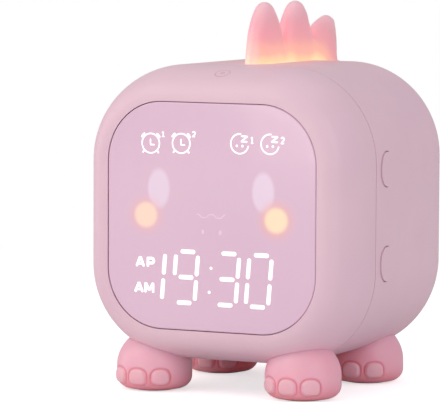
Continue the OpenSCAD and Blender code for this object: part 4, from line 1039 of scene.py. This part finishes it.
def mouth_mark():
    """Faint mouth under the eyes, and two dots below it.

    The mouth is a cosine wave, made squarer by a hyperbolic tangent."""
    pile = Pile()
    along = np.linspace(MOUTH_START, MOUTH_END, 60)
    swing = np.cos((along - MOUTH_START) / MOUTH_WAVE_LENGTH * 2 * np.pi)
    wave = MOUTH_Z + MOUTH_RISE * np.tanh(MOUTH_SQUARENESS * swing)
    mark_stroke(pile, np.stack([along, wave], axis=-1), MOUTH_PEN)
    for x in NOSTRIL_PLACES:
        mark_dot(pile, x, NOSTRIL_Z, *NOSTRIL_HALF)
    return pile.make("mouth_mark", PALE_LIGHT, "clock", "led")


lens_piece()
lit_time()
lit_letters()
alarm_marks()
snooze_marks()
mouth_mark()


# ---------- crest ----------

# Half thickness under a spike, at the thinnest, and at the end on the tail
CREST_HALF, CREST_THIN_HALF, CREST_END_HALF = 5.0, 2.5, 3.0
CREST_SINK = 1.0
STRIP_HEIGHT, VALLEY_HEIGHT, TAIL_STRIP_LENGTH = 2.5, 6.5, 6.0
# Stations along the crest lie this far apart, and closer within the fine length at its ends
STATION_STEP, FINE_LENGTH = 0.3, 2.4
# The higher this power, the sharper the creases where the spikes' outlines meet
OUTLINE_POWER = 14
# A spike's plan is a lens that reaches this far past the spike on both sides
PLAN_OVERLAP = 5.0
# Stations over which the plan is evened, and what is left of its dips between the spikes
PLAN_EVEN, PLAN_DIP = 15, 0.65
# The crest's root is filled out to its full thickness, less and less with height
ROOT_FILL, ROOT_HEIGHT = 0.85, 9.0
# Share of the thickness at the casing, and what it loses up to a spike's tip
CREST_WIDTH, CREST_TAPER = 0.96, 0.36
# The front end is thinner over this length
LEADING_LENGTH, LEADING_TAPER = 6.0, 0.35
# The ends close to all but this share, so that no station is a single point
NEARLY = 0.999
# Stations on both sides that are searched for the nearest piece of the outline
OUTLINE_REACH = 24
# Depth of the rounding under the outline, as a share of the half thickness
ROUND_DEPTH = 1.1
SPIKE_HEIGHT, SPIKE_HALF, SPIKE_TIP = 21.7, 12.5, 5.0
SPIKE_FIRST, SPIKE_PITCH = 42.2, 25.4
# Two spikes stand on the rear edge at these angles above level, and one lower on the rear face
SPIKE_LEANS = (58.0, 21.0)
SPIKE_BACK_Z = 83.6
# Distance down the tail's ridge, height and half width of each spike on it
TAIL_SPIKES = ((4.5, 15.0, 10.5), (26.0, 15.0, 11.0))
# The tail leaves the rear face in a hollow sweep and runs straight to its round tip
TAIL_SWEEP_R, TAIL_SWEEP_Z = 45.0, 78.0
TAIL_REACH, TAIL_TIP_Z, TAIL_TIP_R = 35.0, 9.3, 5.0
# The crest stops this far before the end of the tail's ridge
CREST_TAIL_MARGIN = 5.0
# A spike is looked for up to this share of its height, and found by so many halvings
SEARCH_SHARE, HALVINGS = 1.4, 28

tip_y = REAR_Y + TAIL_REACH - TAIL_TIP_R
sweep_y = REAR_Y + TAIL_SWEEP_R
tip_far = math.hypot(sweep_y - tip_y, TAIL_SWEEP_Z - TAIL_TIP_Z)
tail_lean = math.asin((TAIL_SWEEP_R + TAIL_TIP_R) / tip_far) - math.atan2(
    sweep_y - tip_y, TAIL_SWEEP_Z - TAIL_TIP_Z
)
ridge_start = np.array(
    [
        sweep_y - TAIL_SWEEP_R * math.cos(tail_lean),
        TAIL_SWEEP_Z - TAIL_SWEEP_R * math.sin(tail_lean),
    ]
)
ridge_length = (tip_y + TAIL_TIP_R * math.cos(tail_lean) - ridge_start[0]) / math.sin(tail_lean)
crest_tail_length = ridge_length - CREST_TAIL_MARGIN
arc_middle = np.array([REAR_Y - REAR_EDGE_R, BODY_TOP - REAR_EDGE_R])
crest_front_y = FRONT_Y + SPIKE_FIRST - SPIKE_HALF

# Where the flat top, the rear edge, the rear face, the sweep and the ridge end, along the crest
STRETCHES = np.cumsum(
    [
        arc_middle[0] - crest_front_y,
        REAR_EDGE_R * math.pi / 2,
        arc_middle[1] - TAIL_SWEEP_Z,
        TAIL_SWEEP_R * tail_lean,
        crest_tail_length,
    ]
)


def crest_line(s):
    """Points, directions and outward normals (y, z) of the line under the crest at distance s.

    Flat top, round rear edge, rear face, hollow sweep, straight ridge of the tail."""
    top_end, edge_end, back_end, sweep_end, _ = STRETCHES
    edge = np.clip((s - top_end) / REAR_EDGE_R, 0, math.pi / 2)
    down = np.clip(s - edge_end, 0, back_end - edge_end)
    sweep = np.clip((s - back_end) / TAIL_SWEEP_R, 0, tail_lean)
    out = np.maximum(s - sweep_end, 0)
    on_top, past_back = s < top_end, s > back_end
    angle = np.where(past_back, sweep, np.pi / 2 - edge)
    normal = np.stack([np.cos(angle), np.sin(angle)], axis=-1)
    ahead = np.stack([normal[:, 1], -normal[:, 0]], axis=-1)
    first = arc_middle + REAR_EDGE_R * normal
    first[:, 0] = np.where(on_top, crest_front_y + s, first[:, 0])
    first[:, 1] -= down
    hollow = np.array([sweep_y, TAIL_SWEEP_Z]) - TAIL_SWEEP_R * normal
    second = hollow + out[:, None] * ahead
    return np.where(past_back[:, None], second, first), ahead, normal


def spike_stations():
    """Distance along the crest, height, half width and tip radius of each spike."""
    top_end, edge_end, _, sweep_end, _ = STRETCHES
    stations = [(SPIKE_HALF + k * SPIKE_PITCH, SPIKE_HEIGHT, SPIKE_HALF, SPIKE_TIP) for k in (0, 1)]
    for angle in SPIKE_LEANS:
        far = top_end + REAR_EDGE_R * math.radians(90 - angle)
        stations.append((far, SPIKE_HEIGHT, SPIKE_HALF, SPIKE_TIP))
    stations.append((edge_end + arc_middle[1] - SPIKE_BACK_Z, SPIKE_HEIGHT, SPIKE_HALF, SPIKE_TIP))
    for far, height, half in TAIL_SPIKES:
        stations.append((sweep_end + far, height, half, SPIKE_TIP - 1))
    return stations


def spike_half_at(height, tall, half, tip):
    """Half width of a spike's side view: two wide arcs that meet in a round tip."""
    tip_z = tall - tip
    wide_r = (tip_z**2 + half**2 - tip**2) / (2 * (half - tip))
    meet = tip_z * wide_r / (wide_r - tip)
    flank = half - wide_r + np.sqrt(np.maximum(wide_r**2 - height**2, 0))
    cap = np.sqrt(np.maximum(tip**2 - (height - tip_z) ** 2, 0))
    inside = np.where(height <= meet, flank, cap)
    return np.where(height > tall, -1.0, np.where(height < 0, half, inside))


def spike_reach(s, station):
    """How far out of the casing a spike reaches, straight out from each place on the line.

    Found by halving, because the spike stands straight and the line under it may be round."""
    far, tall, half, tip = station
    base, base_ahead, base_out = (a[0] for a in crest_line(np.array([far])))
    point, _, normal = crest_line(s)
    low, high = np.zeros(len(s)), np.full(len(s), tall * SEARCH_SHARE)

    def inside(height):
        offset = point + normal * height[:, None] - base
        along, out = offset @ base_ahead, offset @ base_out
        return np.abs(along) <= spike_half_at(out, tall, half, tip)

    started = inside(low + 1e-6)
    for _ in range(HALVINGS):
        middle = (low + high) / 2
        within = inside(middle)
        low, high = np.where(within, middle, low), np.where(within, high, middle)
    return np.where(started, low, 0.0)


def distance_inside(s, outline, height):
    """Distance of each point (s, height) under an outline to the nearest piece of that outline."""
    place = np.arange(len(s))
    nearest = outline[:, None] - height
    for step in range(-OUTLINE_REACH, OUTLINE_REACH):
        start = np.clip(place + step, 0, len(s) - 2)
        run = (s[start + 1] - s[start])[:, None]
        rise = (outline[start + 1] - outline[start])[:, None]
        off, up = (s - s[start])[:, None], height - outline[start][:, None]
        share = np.clip((off * run + up * rise) / (run**2 + rise**2), 0, 1)
        nearest = np.minimum(nearest, np.hypot(off - share * run, up - share * rise))
    return nearest


def round_end(share):
    """Quarter circle from 0 to 1 as the share of its length runs from 0 to 1."""
    return np.sqrt(1 - (1 - np.clip(share, 0, 1)) ** 2)


def crest_stations():
    """Distances along the crest at which it is worked out: even, and closer at both ends."""
    end = STRETCHES[-1]
    ease = np.linspace(0, 1, 14) ** 2.4 * FINE_LENGTH
    evenly = np.arange(FINE_LENGTH, end - FINE_LENGTH, STATION_STEP)
    return np.unique(np.concatenate([ease, evenly, end - ease]))


def crest_outline(s, spikes):
    """Height of the crest at each station: power sum of the spikes and the floor between them."""
    end = STRETCHES[-1]
    web = (s > SPIKE_HALF) & (s < end - TAIL_STRIP_LENGTH)
    floor = np.where(web, VALLEY_HEIGHT, STRIP_HEIGHT)
    kernel = np.exp(-np.linspace(-2, 2, 13) ** 2)
    kernel /= kernel.sum()
    floor = np.convolve(np.pad(floor, 6, mode="edge"), kernel, mode="valid")
    reaches = np.array([spike_reach(s, spike) for spike in spikes])
    powers = np.sum(reaches**OUTLINE_POWER, axis=0) + floor**OUTLINE_POWER
    close = round_end(np.minimum(s, end - s) / STRIP_HEIGHT)
    return powers ** (1 / OUTLINE_POWER) * (close * NEARLY + 1 - NEARLY)


def crest_plan(s, spikes):
    """Half thickness seen from above: a lens under each spike, evened along the crest."""
    plan = np.full(len(s), CREST_THIN_HALF)
    for far, _, half, _ in spikes:
        long_half = half + PLAN_OVERLAP
        lens_r = (long_half**2 + CREST_HALF**2) / (2 * CREST_HALF)
        bulge = np.sqrt(np.maximum(lens_r**2 - (s - far) ** 2, 0)) - lens_r + CREST_HALF
        plan = np.maximum(plan, np.where(np.abs(s - far) < long_half, bulge, 0))
    even = np.ones(PLAN_EVEN) / PLAN_EVEN
    plan = np.convolve(np.pad(plan, PLAN_EVEN // 2, mode="edge"), even, mode="valid")
    return CREST_HALF - (CREST_HALF - plan) * PLAN_DIP


def crest_half(s, plan, height):
    """Half thickness at each station and height: the plan, filled at the root, tapered upwards.

    It narrows along the tail, is thinner at the front end, and both ends are round."""
    narrow = np.clip((s - STRETCHES[3]) / crest_tail_length, 0, 1)
    shrink = 1 - narrow * (1 - CREST_END_HALF / CREST_HALF)
    leading = np.exp(-((s / LEADING_LENGTH) ** 2))[:, None]
    root = np.exp(-((height / ROOT_HEIGHT) ** 2)) * (1 - leading)
    half = plan[:, None] + (CREST_HALF - plan[:, None]) * root * ROOT_FILL
    taper = CREST_WIDTH - CREST_TAPER * height / SPIKE_HEIGHT
    half = half * taper * shrink[:, None] * (1 - LEADING_TAPER * leading)
    close = round_end(np.minimum(s, STRETCHES[-1] - s) / half.max(axis=1))
    return half * (close[:, None] * NEARLY + 1 - NEARLY)


def crest_piece():
    """Crest: at each place on its line a rounded section rises to the outline of the spikes.

    A section runs up one side and down the other: its height is the outline times 1 - side**2, and
    its half thickness closes on a half oval under the outline."""
    spikes = spike_stations()
    s = crest_stations()
    outline = crest_outline(s, spikes)
    side = np.linspace(-1, 1, 41)
    height = outline[:, None] * (1 - side**2)
    half = crest_half(s, crest_plan(s, spikes), height)
    gap = distance_inside(s, outline, height)
    x = np.sign(side) * half * round_end(gap / (half * ROUND_DEPTH))
    sunk = np.full((len(s), 1), -CREST_SINK)
    height = np.concatenate([sunk, height, sunk], axis=1)
    x = np.concatenate([x[:, :1], x, x[:, -1:]], axis=1)
    point, _, normal = crest_line(s)
    flat = point[:, None, :] + normal[:, None, :] * height[..., None]
    grid = np.concatenate([x[..., None], flat], axis=-1)
    chart = np.stack([np.broadcast_to(s[:, None], height.shape), height], axis=-1)
    grid[[0, -1]] = grid[[0, -1]].mean(axis=1, keepdims=True)
    piece = Pile().add(grid, wrap_columns=True, chart=chart).make(
        "crest_fin", FINISHES["crest"], "clock", "crest"
    )
    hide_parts("glow_crest")
    return piece


crest_piece()


# ---------- feet ----------

FOOT_R, FOOT_EDGE_R, FOOT_BOTTOM, FOOT_MIDDLE_Z = 13.4, 4.5, 0.5, 8.0
PAD_R, PAD_TOP, PAD_GAP = 7.0, 1.0, 0.02
# Columns crowd towards the front of the foot, where the nails are
TURN_CROWDING = 0.45
NAIL_Z, NAIL_HALF_WIDTH, NAIL_HALF_HEIGHT = 5.5, 3.55, 2.95
NAIL_STEP = math.radians(36.7)
# A nail is an oval of this power: 2 would be round, and more is squarer
NAIL_POWER_ABOVE, NAIL_POWER_BELOW = 2.3, 3.6
NAIL_RISE, NAIL_BEVEL, NAIL_COLOUR_EDGE = 0.75, 1.1, 0.3
# Angle from a nail's middle beyond which nothing of it is shown
NAIL_SPAN = 1.2
CREASE_DEPTH, CREASE_WIDTH, CREASE_OUTSIDE = 0.3, 0.36, 0.12
CREASE_FADE = 0.7
# Nails and creases grow in over this distance outside the flat underside's radius
NAIL_FADE_IN = 2.5
FOOT_SINK = 0.5
FOOT_NODES = ("foot_front_left", "foot_front_right", "foot_rear_left", "foot_rear_right")


def foot_middle(node):
    """A foot's axis, which is also the middle of its pad."""
    low, high = (np.array(p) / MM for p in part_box(node))
    return (low[0] + high[0]) / 2, high[1] - FOOT_R


def foot_profile():
    """Radius and level of the foot's profile: pad hollow, round lower edge, short wall, dome."""
    edge = np.linspace(-np.pi / 2, 0, 22)
    dome = np.linspace(0, np.pi / 2, 64)
    pad_r = PAD_R + PAD_GAP
    hollow_r = np.array([0.0, pad_r, pad_r, FOOT_R - FOOT_EDGE_R])
    hollow_z = np.array([PAD_TOP, PAD_TOP, FOOT_BOTTOM, FOOT_BOTTOM])
    edge_r = FOOT_R - FOOT_EDGE_R + FOOT_EDGE_R * np.cos(edge)
    edge_z = FOOT_BOTTOM + FOOT_EDGE_R + FOOT_EDGE_R * np.sin(edge)
    wall_z = np.linspace(edge_z[-1], FOOT_MIDDLE_Z, 10)[1:-1]
    wall_r = np.full(len(wall_z), FOOT_R)
    radius = np.concatenate([hollow_r, edge_r[1:], wall_r, FOOT_R * np.cos(dome)])
    level = np.concatenate([hollow_z, edge_z[1:], wall_z, FOOT_MIDDLE_Z + FOOT_R * np.sin(dome)])
    return radius, level


def toenails(radius, level, turn):
    """Masks of the three nails, their lifted faces and the creases round them, on the foot's grid.

    A nail is an oval |p|**n + |q|**n = 1 of two powers, rounder above and squarer below."""
    nail, rise, crease = np.zeros((3, len(radius), len(turn)))
    q = (level - NAIL_Z)[:, None] / NAIL_HALF_HEIGHT
    power = np.where(q > 0, NAIL_POWER_ABOVE, NAIL_POWER_BELOW)
    for k in (-1, 0, 1):
        off = np.angle(np.exp(1j * (turn + np.pi / 2 - k * NAIL_STEP)))
        p = (off * FOOT_R)[None, :] / NAIL_HALF_WIDTH
        ring = (np.abs(p) ** power + np.abs(q) ** power) ** (1 / power)
        inward = (1 - ring) * NAIL_HALF_WIDTH
        lifted = np.clip(inward / NAIL_BEVEL, 0, 1)
        lifted = lifted * lifted * (3 - 2 * lifted)
        groove = np.exp(-(((inward + CREASE_OUTSIDE) / CREASE_WIDTH) ** 2))
        groove *= 1 - CREASE_FADE * np.clip(-q, 0, 1)
        front = np.abs(off)[None, :] < NAIL_SPAN
        rise = np.maximum(rise, np.where(front, lifted, 0))
        crease = np.maximum(crease, np.where(front, groove, 0))
        nail = np.maximum(nail, np.where(front, np.clip(inward / NAIL_COLOUR_EDGE, 0, 1), 0))
    return nail, rise, crease


def under_casing(x, y, z):
    """Brings points that would go into the casing back to just under its skin.

    Each is moved straight away from the axis of the casing's nearer lower corner."""
    out_x = np.maximum(np.abs(x) - CORNER_X, 0)
    out_z = np.maximum(BODY_MIDDLE_Z - CORNER_Z - z, 0)
    from_axis = np.hypot(out_x, out_z)
    allowed = casing_reach(y - FRONT_Y) - FOOT_SINK
    too_deep = from_axis < allowed
    pull = np.where(too_deep, allowed / np.maximum(from_axis, 1e-6), 1.0)
    x = np.where(out_x > 0, np.sign(x) * (CORNER_X + out_x * pull), x)
    z = np.where(too_deep, BODY_MIDDLE_Z - CORNER_Z - out_z * pull, z)
    return np.stack([x, y, z], axis=-1)


def foot_piece(node):
    """Dumpy foot: a profile turned round an upright axis, with toenails pushed out of it."""
    middle_x, middle_y = foot_middle(node)
    radius, level = foot_profile()
    turn = np.linspace(0, 2 * np.pi, 340, endpoint=False)
    turn = turn + TURN_CROWDING * np.sin(turn) + np.pi / 2
    nail, rise, crease = toenails(radius, level, turn)
    on_side = np.clip((radius - (FOOT_R - FOOT_EDGE_R)) / NAIL_FADE_IN, 0, 1)[:, None]
    push = (rise * NAIL_RISE - crease * CREASE_DEPTH) * on_side
    slope = np.arctan2(np.gradient(-radius), np.gradient(level))
    reach = radius[:, None] + push * np.cos(slope)[:, None]
    z = level[:, None] + push * np.sin(slope)[:, None]
    x = middle_x + reach * np.cos(turn)
    y = middle_y + reach * np.sin(turn)
    piece = Pile().add(under_casing(x, y, z), wrap_columns=True).make(
        node.replace("foot_", "toed_foot_"),
        FINISHES["foot"],
        "clock",
        "foot",
        {"nail": nail, "crease": crease * (1 - rise) * on_side},
    )
    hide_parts(node)
    return piece


for foot_node in FOOT_NODES:
    foot_piece(foot_node)


# ---------- touch mark on the top front edge ----------

# Depth of the mark's middle behind the front, and how far it stands off the casing
TOUCH_DEPTH, TOUCH_PROUD, TOUCH_SIDES = 9.0, 0.03, 8
TOUCH_RING_R, TOUCH_RING_PEN = 2.6, 0.45
TOUCH_DOT_R, TOUCH_DOT_PEN = 0.6, 0.5


def touch_mark():
    """Faint round mark draped on the casing's front rounding: a ring and a small ring in it.

    Each is a flat oval section carried round a circle, and lies on the casing's reach."""
    pile = Pile()

    def drape(path, width):
        ring = np.linspace(0, 2 * np.pi, TOUCH_SIDES, endpoint=False)
        sideways = (width / 2 * np.cos(ring))[None, :, None]
        flat = path[:, None, :] + across_line(path, True)[:, None, :] * sideways
        skin = BODY_MIDDLE_Z + CORNER_Z + casing_reach(TOUCH_DEPTH + flat[..., 1])
        z = skin + TOUCH_PROUD * np.sin(ring)[None, :]
        grid = np.stack([flat[..., 0], FRONT_Y + TOUCH_DEPTH + flat[..., 1], z], axis=-1)
        pile.add(grid, wrap_rows=True, wrap_columns=True)

    drape(arc_points((0, 0), TOUCH_RING_R, 0, 360, 61)[:-1], TOUCH_RING_PEN)
    drape(arc_points((0, 0), TOUCH_DOT_R, 0, 360, 25)[:-1], TOUCH_DOT_PEN)
    return pile.make("touch_mark", MARK_INK, "clock", "shell")


touch_mark()


# ---------- studio ----------

WHITE = (1.0, 1.0, 1.0, 1.0)
FLOOR_HALF = 3.0
FLOOR_GREY = (0.8, 0.8, 0.8, 1.0)
FLOOR_FADE = (0.2, 0.5)
FLOOR_LIFT = 0.62
WORLD_LIGHT = 0.5


def background_seen(tree):
    """1 for the camera's own rays and for rays through clear pieces, and 0 for light."""
    path = tree.nodes.new("ShaderNodeLightPath")
    return calculate(
        tree, "MAXIMUM", path.outputs["Is Camera Ray"], path.outputs["Is Transmission Ray"]
    )


def studio_floor():
    """Pale floor that takes the shadow near the clock and fades into the white surround.

    To the camera it gives light of its own: a little beside the clock and all of it far away."""
    mesh = bpy.data.meshes.new("floor")
    corners = np.array([(-1, -1, 0), (1, -1, 0), (1, 1, 0), (-1, 1, 0)]) * FLOOR_HALF
    mesh.from_pydata([tuple(c) for c in corners], [], [(0, 1, 2, 3)])
    made, tree, shader = new_material("pale floor")
    shader.inputs["Base Color"].default_value = FLOOR_GREY
    shader.inputs["Roughness"].default_value = 0.9
    away = put(tree, "VectorMath", {0: object_place(tree)}, operation="LENGTH").outputs["Value"]
    far = spread(tree, away, FLOOR_FADE[0], FLOOR_FADE[1])
    seen = background_seen(tree)
    lift = put(tree, "Emission", {"Color": WHITE, "Strength": FLOOR_LIFT})
    white = put(tree, "Emission", {"Color": WHITE, "Strength": 1.0})
    lifted = put(tree, "AddShader", {0: shader.outputs[0], 1: lift.outputs[0]})
    faded = put(tree, "MixShader", {0: far, 1: lifted.outputs[0], 2: white.outputs[0]})
    shown = put(tree, "MixShader", {0: seen, 1: shader.outputs[0], 2: faded.outputs[0]})
    out = next(n for n in tree.nodes if n.type == "OUTPUT_MATERIAL")
    tree.links.new(shown.outputs[0], out.inputs[0])
    mesh.materials.append(made)
    floor = bpy.data.objects.new("floor", mesh)
    bpy.context.scene.collection.objects.link(floor)


def studio_world():
    """Even white surround: plain light for the object, and full white where it is seen."""
    world = bpy.data.worlds.new("studio")
    bpy.context.scene.world = world
    world.use_nodes = True
    tree = world.node_tree
    tree.nodes.clear()
    strength = spread(tree, background_seen(tree), 0.0, 1.0, WORLD_LIGHT, 1.0)
    back = put(tree, "Background", {"Color": WHITE, "Strength": strength})
    out = tree.nodes.new("ShaderNodeOutputWorld")
    tree.links.new(back.outputs[0], out.inputs[0])


# Lamps: name, place, aim and size in metres, power in watts, tint
BODY_AIM, FEET_AIM = (0.0, 0.0, 0.06), (0.0, 0.0, 0.02)
PLAIN, COOL, WARM, ROSE = (1.0, 1.0, 1.0), (0.92, 0.9, 1.0), (1.0, 0.9, 0.89), (1.0, 0.9, 0.92)
SOFTBOXES = (
    ("key", (-0.7, -0.9, 0.9), BODY_AIM, 0.9, 4.1, PLAIN),
    ("side", (1.1, -0.4, 0.5), BODY_AIM, 0.9, 3.15, COOL),
    ("low", (-0.25, -1.15, 0.2), FEET_AIM, 0.5, 1.6, WARM),
    ("left", (-1.2, -0.3, 0.3), BODY_AIM, 0.6, 1.8, WARM),
    ("top", (0.0, 0.1, 1.3), BODY_AIM, 0.9, 1.5, ROSE),
)


def softbox(name, place, aim, size, power, tint):
    """Square area lamp that looks at a point."""
    lamp = bpy.data.lights.new(name, "AREA")
    lamp.shape = "SQUARE"
    lamp.size = size
    lamp.energy = power
    lamp.color = tint
    holder = bpy.data.objects.new(name, lamp)
    bpy.context.scene.collection.objects.link(holder)
    holder.location = place
    holder.rotation_mode = "QUATERNION"
    holder.rotation_quaternion = (Vector(aim) - Vector(place)).to_track_quat("-Z", "Y")


# The camera stands where the photograph was taken from, found by fitting the clock's outline
IMAGE_SIZE = (440, 402)
SENSOR_WIDTH = 36.0
FOCAL_PIXELS = 3571.9
CAMERA_YAW = math.radians(25.63)
CAMERA_PITCH = math.radians(4.80)
CAMERA_ROLL = math.radians(0.33)
CAMERA_DISTANCE = 1.2797
BODY_MIDDLE_PIXEL = (270.17, 207.66)


def camera():
    """Camera at the fitted place, turned so that the body's middle falls on its pixel."""
    back = Vector(
        (
            math.sin(CAMERA_YAW) * math.cos(CAMERA_PITCH),
            -math.cos(CAMERA_YAW) * math.cos(CAMERA_PITCH),
            math.sin(CAMERA_PITCH),
        )
    )
    level = Vector((math.cos(CAMERA_YAW), math.sin(CAMERA_YAW), 0))
    upright = back.cross(level)
    right = level * math.cos(CAMERA_ROLL) + upright * math.sin(CAMERA_ROLL)
    up = upright * math.cos(CAMERA_ROLL) - level * math.sin(CAMERA_ROLL)
    off_x = (BODY_MIDDLE_PIXEL[0] - IMAGE_SIZE[0] / 2) / FOCAL_PIXELS
    off_y = (BODY_MIDDLE_PIXEL[1] - IMAGE_SIZE[1] / 2) / FOCAL_PIXELS
    ahead = (-back - right * off_x + up * off_y).normalized()
    side = ahead.cross(up).normalized()
    top = side.cross(ahead)
    middle = Vector((0, (FRONT_Y + REAR_Y) / 2, BODY_MIDDLE_Z)) * MM
    data = bpy.data.cameras.new("camera")
    data.sensor_width = SENSOR_WIDTH
    data.lens = FOCAL_PIXELS / IMAGE_SIZE[0] * SENSOR_WIDTH
    data.clip_start, data.clip_end = 0.1, 20.0
    made = bpy.data.objects.new("camera", data)
    turn = Matrix((side, top, -ahead)).transposed().to_4x4()
    made.matrix_world = Matrix.Translation(middle + back * CAMERA_DISTANCE) @ turn
    bpy.context.scene.collection.objects.link(made)
    bpy.context.scene.camera = made


studio_floor()
studio_world()
for lamp_setting in SOFTBOXES:
    softbox(*lamp_setting)
camera()
bpy.context.scene.view_settings.view_transform = "Standard"
